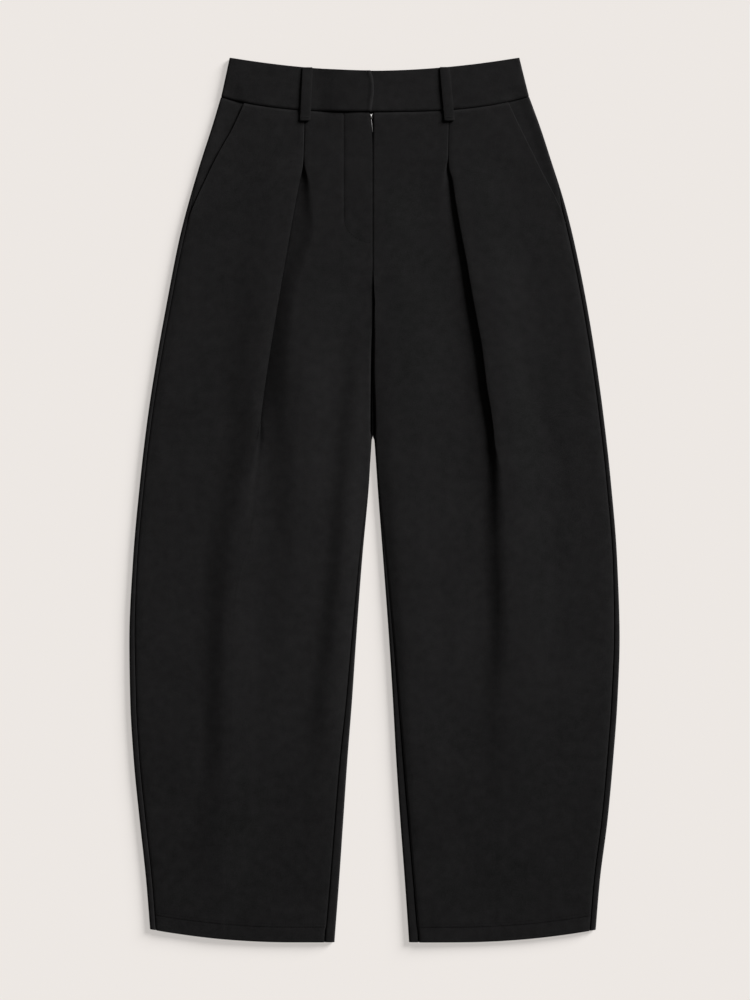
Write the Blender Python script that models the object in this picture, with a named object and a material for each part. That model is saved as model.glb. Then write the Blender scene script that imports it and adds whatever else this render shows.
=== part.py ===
"""Pleated wide-leg trousers lying flat on their back, with the front side up.

Units are metres. X runs across the garment, with the wearer's left leg at +X, Y runs from the
hems up to the waistband, and Z is up. The origin is the middle of the outline, on the surface
that the back lies on. A "drop" is a distance down from the top corners of the waistband, and
"out" is a distance outwards from the centre line, measured the same way on both legs.
"""
import math
from types import SimpleNamespace

import bmesh
import bpy

# Driving dimensions
LENGTH = 1.0355
CLOTH = 0.0012
HEM_CLOTH = 0.0022
HEM_DEPTH = 0.0165
GAP = 0.0003
SEAM_STEP = 0.0003
LAYER = 0.00155

# Heights of the flattened tube
EDGE_RADIUS = 0.0025
FRONT_TOP = 0.0058
SIDE_ROLL = 0.014
INSEAM_ROLL = 0.016
FACING_ROLL = 0.012

# Waistband
BAND_WALL = 0.0020
BAND_RADIUS = 0.0028
BAND_SEAM_GAP = 0.0005
BAND_SEAM_STEP = 0.0002
BAND_DIP = 0.0154
BAND_DIP_POWER = 1.85
BAND_TOP_HALF = 0.1697
WAIST_SEAM = 0.0632
WAIST_RISE = 0.0164
WAIST_RISE_HALF = 0.1755
WAIST_RISE_LIMIT = 0.190
WAIST_RISE_FADE = 0.120
BAND_OVERLAP = 0.0023
BAND_OVERLAP_START = 0.070
BAND_OVERLAP_RAMP = 0.032
UNDERLAP = 0.035

# Hems
HEM_RISE = 0.0152
HEM_RISE_START = 0.095
HEM_RISE_WIDTH = 0.167
HEM_RISE_FADE_START = 0.930
HEM_RISE_FADE = 0.090

# Crotch, where the centre seam ends and the inner edges become rolled edges
CROTCH_START = 0.300
CROTCH_FADE = 0.045
CENTRE_SEAM = 0.00025
CENTRE_SEAM_END = 0.245
CENTRE_SEAM_FADE = 0.060

# Slant pockets
POCKET_END = 0.181
POCKET_LIFT_FADE = 0.022
FACING_UNDER = 0.013

# Pleats
CREST_MARGIN = 0.0015
CREST_FADE = 0.030

# Fly
FLY_WIDTH = 0.033
FLY_RAMP = 0.010
FLY_END = 0.205
FLY_FADE = 0.030

# Belt loops
LOOP_WIDTH = 0.0125
LOOP_WALL = 0.0016
BACK_LOOP_OUT = 0.132
BACK_LOOP_WALL = 0.0010
BACK_LOOP_TOP = 0.0058
BACK_LOOP_END = 0.0680
BACK_LOOP_LIFT = 0.0013
BACK_LOOP_SHOULDER = 0.0020
BACK_LOOP_RAMP = 0.012
BACK_LOOP_FADE_START = 0.080
BACK_LOOP_FADE = 0.020

# Zip
ZIP_OUT = -0.0028
ZIP_TOP = 0.0745
ZIP_END = 0.2120
TAPE_WIDTH = 0.026
TAPE_LOW = 0.0025
TAPE_HIGH = 0.0035
CHAIN_WIDTH = 0.0034
CHAIN_LOW = 0.0019
CHAIN_HIGH = 0.0037
SLIDER_TOP = 0.0655
SLIDER_WIDTH = 0.0073
SLIDER_LOW = 0.0016
SLIDER_HIGH = 0.0036
CROWN_WIDTH = 0.0022
CROWN_LENGTH = 0.0062
CROWN_HIGH = 0.0050
PULL_WIDTH = 0.0018
PULL_LENGTH = 0.0168
PULL_LOW = 0.0040
PULL_HIGH = 0.0048
PULL_DRIFT = 0.0024

# Half width of each leg at its outer edge: drop, wearer's right, wearer's left
SIDE = (
    (0.0455, 0.1797, 0.1811),
    (0.0848, 0.1915, 0.1953),
    (0.1199, 0.2029, 0.2067),
    (0.1667, 0.2169, 0.2216),
    (0.2135, 0.2289, 0.2335),
    (0.2837, 0.2427, 0.2478),
    (0.3539, 0.2553, 0.2594),
    (0.4241, 0.2661, 0.2689),
    (0.4943, 0.2744, 0.2767),
    (0.5879, 0.2829, 0.2843),
    (0.6815, 0.2872, 0.2872),
    (0.7517, 0.2862, 0.2847),
    (0.8219, 0.2821, 0.2796),
    (0.8921, 0.2752, 0.2731),
    (0.9623, 0.2676, 0.2641),
    (1.0208, 0.2628, 0.2591),
)

# Inner edge of each front, the fly, centre seam and inseam: drop, wearer's right, left
INNER = (
    (0.0630, 0.0047, 0.0004),
    (0.0740, 0.0036, 0.0010),
    (0.0883, 0.0012, 0.0010),
    (0.0965, 0.0006, 0.0005),
    (0.1080, 0.0004, 0.0004),
    (0.2450, 0.0003, 0.0003),
    (0.3050, 0.0007, 0.0007),
    (0.3300, 0.0005, 0.0005),
    (0.3600, 0.0004, 0.0003),
    (0.4000, 0.0009, -0.0004),
    (0.4452, 0.0014, -0.0006),
    (0.4710, 0.0039, 0.0014),
    (0.4943, 0.0060, 0.0030),
    (0.5879, 0.0144, 0.0101),
    (0.6815, 0.0214, 0.0170),
    (0.7517, 0.0261, 0.0214),
    (0.8219, 0.0316, 0.0253),
    (0.8921, 0.0364, 0.0300),
    (0.9623, 0.0412, 0.0353),
    (1.0325, 0.0466, 0.0402),
)

# Distance in from the outer edge of the side seam, which the back wraps round to: drop, distance
SIDE_SEAM = (
    (0.1180, 0.0),
    (0.1300, 0.0002),
    (0.1390, 0.0006),
    (0.1490, 0.0014),
    (0.1590, 0.0026),
    (0.1810, 0.0053),
    (0.5900, 0.0053),
    (0.6300, 0.0060),
    (0.7500, 0.0073),
    (1.0300, 0.0073),
)

# Distance in from the outer edge of the slant pocket's mouth: drop, wearer's right, left
POCKET_MOUTH = (
    (0.0455, 0.0265, 0.0235),
    (0.0813, 0.0212, 0.0205),
    (0.1029, 0.0175, 0.0184),
    (0.1375, 0.0120, 0.0135),
    (0.1667, 0.0076, 0.0078),
    (0.1810, 0.0058, 0.0058),
)

# Distance along the cloth from the inner edge to the inseam on the front: drop, distance
INSEAM = (
    (0.4450, 0.0),
    (0.4710, 0.0005),
    (0.5880, 0.0040),
    (0.6810, 0.0060),
    (0.7520, 0.0075),
    (0.8220, 0.0095),
    (0.8920, 0.0105),
    (1.0200, 0.0117),
)

# The pleat at each drop: where its fold edge lies, how far the cloth turns under in degrees, how
# deep the fold runs back, the height of its top, how far the layer below lies under the top, and
# the width over which that layer climbs back up on the inner side
PLEAT_NAMES = ("drop", "fold", "turn", "run", "top", "step", "climb")
PLEAT_RIGHT = (
    (0.060, 0.0813, 180, 0.0220, 0.0058, 0.0031, 0.004),
    (0.115, 0.0832, 180, 0.0220, 0.0060, 0.0033, 0.004),
    (0.127, 0.0840, 180, 0.0220, 0.0066, 0.0039, 0.007),
    (0.139, 0.0868, 180, 0.0210, 0.0070, 0.0043, 0.018),
    (0.173, 0.0932, 180, 0.0200, 0.0071, 0.0044, 0.034),
    (0.218, 0.1017, 180, 0.0180, 0.0070, 0.0043, 0.044),
    (0.297, 0.1148, 180, 0.0140, 0.0069, 0.0042, 0.050),
    (0.378, 0.1274, 180, 0.0080, 0.0068, 0.0041, 0.050),
    (0.417, 0.1330, 178, 0.0040, 0.0067, 0.0040, 0.050),
    (0.457, 0.1370, 150, 0.0015, 0.0065, 0.0037, 0.050),
    (0.493, 0.1415, 95, 0.0008, 0.0063, 0.0029, 0.045),
    (0.521, 0.1457, 55, 0.0008, 0.0062, 0.0023, 0.040),
    (0.555, 0.1520, 38, 0.0008, 0.0062, 0.0016, 0.040),
    (0.611, 0.1620, 26, 0.0008, 0.0062, 0.0011, 0.040),
    (0.668, 0.1680, 22, 0.0008, 0.0062, 0.0009, 0.040),
    (0.747, 0.1700, 18, 0.0008, 0.0061, 0.0007, 0.040),
    (0.809, 0.1720, 14, 0.0008, 0.0060, 0.0005, 0.040),
    (0.868, 0.1760, 10, 0.0008, 0.0059, 0.0003, 0.040),
    (0.927, 0.1790, 7, 0.0005, 0.0058, 0.0002, 0.040),
    (1.035, 0.1790, 6, 0.0005, 0.0055, 0.0002, 0.040),
)
PLEAT_LEFT = (
    (0.060, 0.0883, 180, 0.0220, 0.0058, 0.0031, 0.004),
    (0.115, 0.0874, 180, 0.0220, 0.0060, 0.0033, 0.004),
    (0.127, 0.0874, 180, 0.0220, 0.0066, 0.0039, 0.007),
    (0.139, 0.0893, 180, 0.0210, 0.0070, 0.0043, 0.018),
    (0.159, 0.0929, 180, 0.0200, 0.0072, 0.0045, 0.028),
    (0.198, 0.0991, 180, 0.0190, 0.0072, 0.0045, 0.036),
    (0.240, 0.1075, 180, 0.0170, 0.0072, 0.0045, 0.042),
    (0.281, 0.1145, 180, 0.0150, 0.0072, 0.0045, 0.046),
    (0.342, 0.1272, 180, 0.0120, 0.0071, 0.0044, 0.050),
    (0.387, 0.1328, 180, 0.0090, 0.0070, 0.0043, 0.050),
    (0.429, 0.1390, 180, 0.0060, 0.0069, 0.0042, 0.050),
    (0.463, 0.1426, 178, 0.0040, 0.0068, 0.0041, 0.050),
    (0.499, 0.1460, 160, 0.0020, 0.0067, 0.0039, 0.050),
    (0.541, 0.1488, 110, 0.0009, 0.0066, 0.0034, 0.050),
    (0.597, 0.1515, 60, 0.0008, 0.0065, 0.0029, 0.050),
    (0.653, 0.1533, 42, 0.0008, 0.0064, 0.0022, 0.050),
    (0.718, 0.1502, 32, 0.0008, 0.0063, 0.0017, 0.050),
    (0.774, 0.1480, 25, 0.0008, 0.0062, 0.0013, 0.050),
    (0.830, 0.1470, 18, 0.0008, 0.0061, 0.0008, 0.050),
    (0.875, 0.1460, 12, 0.0008, 0.0060, 0.0005, 0.050),
    (0.927, 0.1455, 7, 0.0005, 0.0058, 0.0002, 0.050),
    (1.035, 0.1450, 6, 0.0005, 0.0055, 0.0002, 0.050),
)

# Soft folds in each front. A fold has a half width, and rows of drop, place and height
FOLDS_RIGHT = (
    (0.016, (
        (0.284, 0.1515, 0.0),
        (0.360, 0.1550, -0.0005),
        (0.457, 0.1609, -0.0010),
        (0.541, 0.1702, -0.0014),
        (0.597, 0.1749, -0.0016),
        (0.681, 0.1796, -0.0016),
        (0.790, 0.1854, -0.0013),
        (0.880, 0.1890, -0.0005),
        (0.950, 0.1900, 0.0),
    )),
    (0.014, (
        (0.3165, 0.0240, 0.0),
        (0.4007, 0.0287, -0.0010),
        (0.5049, 0.0380, -0.0016),
        (0.5692, 0.0521, -0.0018),
        (0.6757, 0.0603, -0.0018),
        (0.7330, 0.0649, -0.0015),
        (0.7892, 0.0708, -0.0010),
        (0.8687, 0.0743, -0.0004),
        (0.9300, 0.0760, 0.0),
    )),
)
FOLDS_LEFT = (
    (0.016, (
        (0.2837, 0.1609, 0.0),
        (0.3305, 0.1702, -0.0006),
        (0.4089, 0.1901, -0.0008),
        (0.4709, 0.2159, -0.0006),
        (0.5410, 0.2287, 0.0),
    )),
    (0.012, (
        (0.2135, 0.2124, 0.0),
        (0.3165, 0.2241, -0.0006),
        (0.3808, 0.2322, -0.0005),
        (0.4358, 0.2369, 0.0),
    )),
)

# The arch of a front belt loop: fraction of its length, height of the middle of its wall
LOOP_ARCH = ((0.0, 0.0067), (0.12, 0.0072), (0.40, 0.0081), (0.70, 0.0078), (0.90, 0.0071),
             (1.0, 0.0069))

# Top and lower end of each front belt loop: drop and out of each end
LOOP_RIGHT = (0.0117, 0.0790, 0.0743, 0.0818)
LOOP_LEFT = (0.0114, 0.0830, 0.0743, 0.0889)

# How far the loose end of the waistband's right piece lies from the centre: depth, distance
BAND_END = ((0.0, 0.0050), (0.25, 0.0016), (0.50, 0.0010), (0.75, 0.0025), (1.0, 0.0042))

# Levels of the rings of points, from the waist seam to the hem
LEVELS = (
    WAIST_SEAM, 0.0800, 0.0980, 0.1150, 0.1260, 0.1340, 0.1430, 0.1530, 0.1640, 0.1820, 0.2000,
    0.2200, 0.2450, 0.2750, 0.3050, 0.3300, 0.3550, 0.3900, 0.4250, 0.4550, 0.4820, 0.5080,
    0.5400, 0.5850, 0.6400, 0.7050, 0.7750, 0.8450, 0.9150, 0.9750,
    LENGTH - HEM_DEPTH - 0.0025, LENGTH - HEM_DEPTH, LENGTH,
)
FACING_LEVELS = LEVELS[:9] + (POCKET_END,)

# Where the columns of points lie, as fractions from a pleat's crest to the front's outer edge
CREST_TO_SIDE = (1.0, 0.74, 0.50, 0.31, 0.18, 0.08)
# Columns across the back at the waist, in line with those of the waistband's back
BACK_COLUMNS = (0.1523, 0.1403, 0.1237, 0.1117, 0.0560)
BACK_FRACTIONS = (0.14, 0.21, 0.31, 0.38, 0.68)
BACK_COLUMNS_FADE_START = 0.100
BACK_COLUMNS_FADE = 0.060
# Columns across the waistband's front
BAND_COLUMNS = (0.172, 0.160, 0.146, 0.131, 0.116, 0.101, 0.086, 0.070, 0.062, 0.054, 0.046,
                0.038, 0.022)


def smooth(t):
    """Soft step from 0 to 1."""
    t = min(max(t, 0.0), 1.0)
    return t * t * (3.0 - 2.0 * t)


def mix(a, b, t):
    return a + (b - a) * t


def spread(start, end, count):
    """The places after start, up to and with end, in equal steps."""
    return [mix(start, end, (i + 1) / count) for i in range(count)]


def curve(keys, values):
    """A smooth function through the values that never swings past them."""
    last = len(keys) - 1
    slopes = [(values[i + 1] - values[i]) / (keys[i + 1] - keys[i]) for i in range(last)]
    tangents = [slopes[0]]
    for before, after in zip(slopes, slopes[1:]):
        level = before * after <= 0.0
        tangents.append(0.0 if level else 2.0 * before * after / (before + after))
    tangents.append(slopes[-1])

    def value(key):
        key = min(max(key, keys[0]), keys[-1])
        i = 0
        while i < last - 1 and key > keys[i + 1]:
            i += 1
        width = keys[i + 1] - keys[i]
        t = (key - keys[i]) / width
        rise = smooth(t)
        lead_in = t * (1.0 - t) ** 2 * width * tangents[i]
        lead_out = t * t * (t - 1.0) * width * tangents[i + 1]
        return mix(values[i], values[i + 1], rise) + lead_in + lead_out

    return value


def column(rows, index):
    """One column of a table as a smooth function of its first column."""
    return curve([row[0] for row in rows], [row[index] for row in rows])


def make_leg(sign, index, pleat_rows, fold_tables, fly_lift):
    """The measures of one leg. The sign gives its side of the centre line."""
    pleat = {name: column(pleat_rows, i) for i, name in enumerate(PLEAT_NAMES) if i}
    folds = [(half, column(rows, 1), column(rows, 2)) for half, rows in fold_tables]
    return SimpleNamespace(
        sign=sign,
        side=column(SIDE, index),
        inner=column(INNER, index),
        mouth=column(POCKET_MOUTH, index),
        pleat=pleat,
        folds=folds,
        fly_lift=fly_lift,
        band_side=SIDE[0][index],
    )


side_seam = column(SIDE_SEAM, 1)
inseam = column(INSEAM, 1)
band_end = column(BAND_END, 1)
loop_arch = column(LOOP_ARCH, 1)
RIGHT_LEG = make_leg(-1.0, 1, PLEAT_RIGHT, FOLDS_RIGHT, 0.0008)
LEFT_LEG = make_leg(1.0, 2, PLEAT_LEFT, FOLDS_LEFT, -0.0005)


def bent_drop(level, out):
    """The waist seam and the hem rise towards the sides, and the levels near them follow."""
    reach = min(abs(out), WAIST_RISE_LIMIT) / WAIST_RISE_HALF
    waist = WAIST_RISE * reach ** 3 * (1.0 - smooth((level - WAIST_SEAM) / WAIST_RISE_FADE))
    reach = max(out - HEM_RISE_START, 0.0) / HEM_RISE_WIDTH
    hem = HEM_RISE * reach ** 2 * smooth((level - HEM_RISE_FADE_START) / HEM_RISE_FADE)
    return level - waist - hem


def settled(level, place):
    """The drop at which a level crosses the line that place gives."""
    drop = level
    for _ in range(4):
        drop = bent_drop(level, place(drop))
    return drop


def wall_at(level):
    """The cloth is double at the turned hem."""
    return HEM_CLOTH if level > LENGTH - HEM_DEPTH - 0.0001 else CLOTH


def world(leg, level, out, height):
    return (leg.sign * out, LENGTH / 2.0 - bent_drop(level, out), height)


def crotch_roll(drop):
    """0 where the centre seam joins the legs, 1 where a leg has a rolled inner edge."""
    return smooth((drop - CROTCH_START) / CROTCH_FADE)


def quarter_turn(wall):
    """Length of cloth from the outermost line of a rolled edge to its flat side."""
    return (EDGE_RADIUS - wall / 2.0) * math.pi / 2.0


def along_cloth(inset, wall):
    """Distance along the cloth for a distance in from the edge, seen from above."""
    if inset >= EDGE_RADIUS:
        return quarter_turn(wall) + inset - EDGE_RADIUS
    return (EDGE_RADIUS - wall / 2.0) * math.acos(1.0 - inset / EDGE_RADIUS)


def fold_height(leg, drop, out):
    """Height that the soft folds add to the front."""
    total = 0.0
    for half, place, height in leg.folds:
        reach = (out - place(drop)) / half
        if abs(reach) < 1.0:
            total += height(drop) * (1.0 - reach * reach) ** 2
    return total


def fly_height(leg, drop, out):
    """The right front laps over the left one along the fly."""
    across = smooth((FLY_WIDTH + FLY_RAMP - out) / FLY_RAMP)
    return leg.fly_lift * across * (1.0 - smooth((drop - FLY_END) / FLY_FADE))


def plain_side_top(side, out):
    """Height of the front's top face near the outer edge."""
    return mix(2.0 * EDGE_RADIUS, FRONT_TOP, smooth((side - EDGE_RADIUS - out) / SIDE_ROLL))


def facing_top(side, out):
    """Height of the pocket facing's top face, one layer under the front's."""
    low = FRONT_TOP - LAYER
    return mix(2.0 * EDGE_RADIUS, low, smooth((side - EDGE_RADIUS - out) / FACING_ROLL))


def side_point(side, along, wall, top):
    """Point of the rolled outer edge. The distance along the cloth is positive on the front."""
    arc = EDGE_RADIUS - wall / 2.0
    angle = min(abs(along) / arc, math.pi / 2.0)
    beyond = max(0.0, abs(along) - quarter_turn(wall))
    out = side - EDGE_RADIUS - beyond + arc * math.cos(angle)
    if along < 0.0:
        return out, EDGE_RADIUS - arc * math.sin(angle)
    climb = top(side, out) - 2.0 * EDGE_RADIUS
    return out, EDGE_RADIUS + arc * math.sin(angle) + climb


def inner_top(leg, drop, inner, out):
    """Height of the front's top face between the pleat and the inner edge."""
    rolled = crotch_roll(drop) * (1.0 - smooth((out - inner - EDGE_RADIUS) / INSEAM_ROLL))
    plain = mix(FRONT_TOP, 2.0 * EDGE_RADIUS, rolled)
    return plain + fly_height(leg, drop, out) + fold_height(leg, drop, out)


def inner_point(leg, drop, inner, along, wall):
    """Point of the inner edge, flat along the centre seam and rolled below the crotch."""
    roll = crotch_roll(drop)
    arc = EDGE_RADIUS - wall / 2.0
    angle = min(abs(along) / arc, math.pi / 2.0)
    beyond = max(0.0, abs(along) - quarter_turn(wall))
    reach = (arc + (1.0 - roll) * wall / 2.0) * math.cos(angle)
    out = inner + EDGE_RADIUS + beyond - reach
    sunk = roll * arc * (1.0 - math.sin(angle))
    if along < 0.0:
        return out, wall / 2.0 + sunk
    return out, inner_top(leg, drop, inner, out) - wall / 2.0 - sunk


def pleat_fold(fold, turn, run, top, step):
    """The folded edge: over the fold, back under it, and forward again on the layer below."""
    angle = math.radians(turn)
    radius = (step - run * math.sin(angle)) / (2.0 * (1.0 - math.cos(angle)))
    crest = fold + radius * math.sin(min(angle, math.pi / 2.0))
    points = [(crest, top)]
    for turned in spread(0.0, angle, 4):
        points.append((crest - radius * math.sin(turned), top - radius * (1.0 - math.cos(turned))))
    out = points[-1][0] - run * math.cos(angle)
    height = points[-1][1] - run * math.sin(angle)
    points.append((out, height))
    for turned in spread(0.0, angle, 3):
        left = angle - turned
        points.append((
            out - radius * (math.sin(angle) - math.sin(left)),
            height - radius * (math.cos(left) - math.cos(angle)),
        ))
    return points


def front_section(leg, level):
    """The middle of the front's wall across one level, from the side to the inner edge."""
    wall = wall_at(level)
    half = wall / 2.0
    side_drop = settled(level, leg.side)
    fold_drop = settled(level, leg.pleat["fold"])
    side = leg.side(side_drop)
    inner = leg.inner(level)
    fold = leg.pleat["fold"](fold_drop)
    run = leg.pleat["run"](fold_drop)
    top = leg.pleat["top"](fold_drop)
    step = leg.pleat["step"](fold_drop)
    climb = leg.pleat["climb"](fold_drop)
    folded = pleat_fold(fold, leg.pleat["turn"](fold_drop), run, top - half, step)

    # From the side seam or pocket mouth to the crest of the pleat
    edge_inset = side_seam(side_drop) + GAP
    if side_drop < POCKET_END:
        edge_inset = leg.mouth(side_drop)
    crest = folded[0][0]
    lift = 1.0 - smooth((side_drop - POCKET_END) / POCKET_LIFT_FADE)
    crest_start = fold + run + CREST_MARGIN + CREST_FADE
    points = []
    for fraction in CREST_TO_SIDE:
        out = mix(crest, side - edge_inset, fraction)
        skin = mix(plain_side_top(side, out), facing_top(side, out) + LAYER, lift)
        skin += (top - FRONT_TOP) * smooth((crest_start - out) / CREST_FADE)
        skin += fold_height(leg, bent_drop(level, out), out)
        points.append((out, skin - half))
    points += folded

    # The layer below, and its climb back to the height of the front
    foot = min(fold - 0.0002, folded[-1][0] - 0.0006)
    low = top - half - step
    points.append((foot, low))
    for t in (0.33, 0.67, 1.0):
        out = foot - climb * t
        high = inner_top(leg, bent_drop(level, out), inner, out) - half
        points.append((out, mix(low, high, smooth(t))))

    # The inner part, to the centre seam or round the rolled edge to the inseam
    end = inseam(level) + GAP / 2.0
    turn_start = max(quarter_turn(wall), end + 0.002)
    flat_end = inner_point(leg, level, inner, turn_start, wall)
    for out in spread(foot - climb, flat_end[0], 4):
        height = inner_top(leg, bent_drop(level, out), inner, out) - half
        points.append((out, height))
    for along in spread(turn_start, end + SEAM_STEP, 2) + [end]:
        points.append(inner_point(leg, level, inner, along, wall))
    return points


def back_lift(drop, out):
    """The back rises over the belt loops that lie between it and the surface."""
    shoulder = LOOP_WIDTH / 2.0 + BACK_LOOP_SHOULDER
    across = smooth((shoulder + BACK_LOOP_RAMP - abs(out - BACK_LOOP_OUT)) / BACK_LOOP_RAMP)
    down = 1.0 - smooth((drop - BACK_LOOP_FADE_START) / BACK_LOOP_FADE)
    return BACK_LOOP_LIFT * across * down


def back_section(leg, level):
    """The middle of the back's wall across one level, round both edges of the leg."""
    wall = wall_at(level)
    quarter = quarter_turn(wall)
    side_drop = settled(level, leg.side)
    side = leg.side(side_drop)
    seam = along_cloth(side_seam(side_drop), wall) - GAP / 2.0
    points = [side_point(side, seam, wall, plain_side_top)]
    turn_start = min(seam - SEAM_STEP, quarter)
    for along in [turn_start] + spread(turn_start, -quarter, 3):
        points.append(side_point(side, along, wall, plain_side_top))

    apart = smooth((level - CENTRE_SEAM_END) / CENTRE_SEAM_FADE)
    inner = mix(CENTRE_SEAM, leg.inner(level), apart)
    flat_start = side - EDGE_RADIUS
    flat_end = inner + EDGE_RADIUS
    blend = smooth((level - BACK_COLUMNS_FADE_START) / BACK_COLUMNS_FADE)
    for fixed, fraction in zip(BACK_COLUMNS, BACK_FRACTIONS):
        out = mix(fixed, mix(flat_start, flat_end, fraction), blend)
        points.append((out, wall / 2.0 + back_lift(bent_drop(level, out), out)))

    end = inseam(level) - GAP / 2.0
    turn_end = min(end - SEAM_STEP, quarter)
    for along in [-quarter] + spread(-quarter, turn_end, 3) + [end]:
        points.append(inner_point(leg, level, inner, along, wall))
    return points


def facing_section(leg, level):
    """The pocket facing, from the side seam to a little under the front."""
    side_drop = settled(level, leg.side)
    side = leg.side(side_drop)
    start = along_cloth(side_seam(side_drop), CLOTH) + GAP / 2.0
    turn_start = start + SEAM_STEP
    turn_end = max(quarter_turn(CLOTH), turn_start + 0.0012)
    points = []
    for along in [start, turn_start] + spread(turn_start, turn_end, 2):
        points.append(side_point(side, along, CLOTH, facing_top))
    for out in spread(points[-1][0], side - leg.mouth(side_drop) - FACING_UNDER, 3):
        points.append((out, facing_top(side, out) - CLOTH / 2.0))
    return points


def band_drop(out, depth):
    """Drop of a place on the waistband. The depth is 0 at its top edge and 1 at its seam."""
    top = BAND_DIP * (1.0 - (abs(out) / BAND_TOP_HALF) ** BAND_DIP_POWER)
    reach = min(abs(out), WAIST_RISE_LIMIT) / WAIST_RISE_HALF
    bottom = WAIST_SEAM - GAP - WAIST_RISE * reach ** 3
    return mix(top, bottom, depth)


def band_edge(leg, depth, along):
    """Point of the waistband's rolled side edge, positive distances on the front."""
    arc = BAND_RADIUS - BAND_WALL / 2.0
    angle = max(-math.pi / 2.0, min(along / arc, math.pi / 2.0))
    side = mix(BAND_TOP_HALF, leg.band_side, depth)
    return side - BAND_RADIUS + arc * math.cos(angle), BAND_RADIUS + arc * math.sin(angle)


def band_turn():
    """Distances round the waistband's side edge, from its side seam to its flat face."""
    start = BAND_SEAM_GAP / 2.0
    quarter = (BAND_RADIUS - BAND_WALL / 2.0) * math.pi / 2.0
    return [start, start + BAND_SEAM_STEP] + spread(start + BAND_SEAM_STEP, quarter, 3)


def band_row(leg, depth, sections):
    """World points of one row of the waistband."""
    return [(leg.sign * out, LENGTH / 2.0 - band_drop(out, depth), height)
            for out, height in sections]


def band_front_section(leg, depth, laps_over):
    """The front of the waistband, from its side edge past the centre."""
    points = [band_edge(leg, depth, along) for along in band_turn()]
    flat = 2.0 * BAND_RADIUS - BAND_WALL / 2.0
    if laps_over:
        outs = BAND_COLUMNS + (band_end(depth),)
    else:
        outs = BAND_COLUMNS + (0.0, -UNDERLAP / 2.0, -UNDERLAP)
    for out in outs:
        lift = BAND_OVERLAP * smooth((BAND_OVERLAP_START - out) / BAND_OVERLAP_RAMP)
        shift = mix(BAND_TOP_HALF, leg.band_side, depth) - leg.band_side
        near_side = smooth((out - 0.13) / 0.04)
        points.append((out + shift * near_side, flat + (lift if laps_over else 0.0)))
    return points


def band_back_half(leg, depth):
    """One half of the waistband's back, from its side edge to the last column."""
    points = [band_edge(leg, depth, -along) for along in band_turn()]
    for out in BACK_COLUMNS:
        points.append((out, BAND_WALL / 2.0 + back_lift(band_drop(out, depth), out)))
    return band_row(leg, depth, points)


def clear_scene():
    for old in list(bpy.data.objects):
        bpy.data.objects.remove(old, do_unlink=True)


def make_material(name, colour, roughness, metallic):
    material = bpy.data.materials.new(name)
    material.use_nodes = True
    shader = material.node_tree.nodes["Principled BSDF"]
    shader.inputs["Base Color"].default_value = (*colour, 1.0)
    shader.inputs["Roughness"].default_value = roughness
    shader.inputs["Metallic"].default_value = metallic
    return material


def add_object(name, mesh, material):
    piece = bpy.data.objects.new(name, mesh)
    bpy.context.scene.collection.objects.link(piece)
    mesh.materials.append(material)
    return piece


def make_sheet(name, rows, wall, material, weights=None):
    """A wall of cloth with its middle through the rows of points.

    The weights, one for each row, are the part of the wall's thickness that the row has.
    """
    row_count = len(rows)
    column_count = len(rows[0])
    shape = bmesh.new()
    bmesh.ops.create_grid(shape, x_segments=column_count - 1, y_segments=row_count - 1, size=0.5)
    places = {}
    for vertex in shape.verts:
        across = round((vertex.co.x + 0.5) * (column_count - 1))
        down = round((0.5 - vertex.co.y) * (row_count - 1))
        places[vertex] = (down, across)
    for vertex, (down, across) in places.items():
        vertex.co = rows[down][across]
    shape.verts.index_update()
    row_of = {vertex.index: down for vertex, (down, across) in places.items()}
    mesh = bpy.data.meshes.new(name)
    shape.to_mesh(mesh)
    shape.free()
    piece = add_object(name, mesh, material)
    thicken = piece.modifiers.new("cloth wall", "SOLIDIFY")
    thicken.thickness = wall
    thicken.offset = 0.0
    thicken.use_even_offset = True
    if weights:
        group = piece.vertex_groups.new(name="wall")
        for index, down in row_of.items():
            group.add([index], weights[down], "REPLACE")
        thicken.vertex_group = group.name
    mesh.shade_smooth()
    return piece


def make_leg_panel(name, leg, section, levels, material):
    """A front or back, with a double wall at its hem."""
    rows = [[world(leg, level, out, height) for out, height in section(leg, level)]
            for level in levels]
    weights = [wall_at(level) / HEM_CLOTH for level in levels]
    return make_sheet(name, rows, HEM_CLOTH, material, weights)


def make_facing(name, leg, material):
    rows = [[world(leg, level, out, height) for out, height in facing_section(leg, level)]
            for level in FACING_LEVELS]
    return make_sheet(name, rows, CLOTH, material)


def make_band_front(name, leg, laps_over, material):
    rows = [band_row(leg, depth, band_front_section(leg, depth, laps_over))
            for depth in (0.0, 0.25, 0.5, 0.75, 1.0)]
    return make_sheet(name, rows, BAND_WALL, material)


def make_band_back(name, material):
    rows = []
    for depth in (0.0, 0.5, 1.0):
        right = band_back_half(RIGHT_LEG, depth)
        left = band_back_half(LEFT_LEG, depth)
        rows.append(right + left[::-1])
    return make_sheet(name, rows, BAND_WALL, material)


def make_front_loop(name, leg, ends, material):
    """A belt loop that arches over the waistband, fixed at its top edge and under its seam."""
    top_drop, top_out, end_drop, end_out = ends
    rows = []
    for t in (0.0, 0.06, 0.16, 0.32, 0.50, 0.68, 0.84, 0.94, 1.0):
        middle = leg.sign * mix(top_out, end_out, t)
        y = LENGTH / 2.0 - mix(top_drop, end_drop, t)
        height = loop_arch(t)
        rows.append([(middle + side * LOOP_WIDTH / 2.0, y, height) for side in (-1.0, 0.0, 1.0)])
    return make_sheet(name, rows, LOOP_WALL, material)


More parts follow.
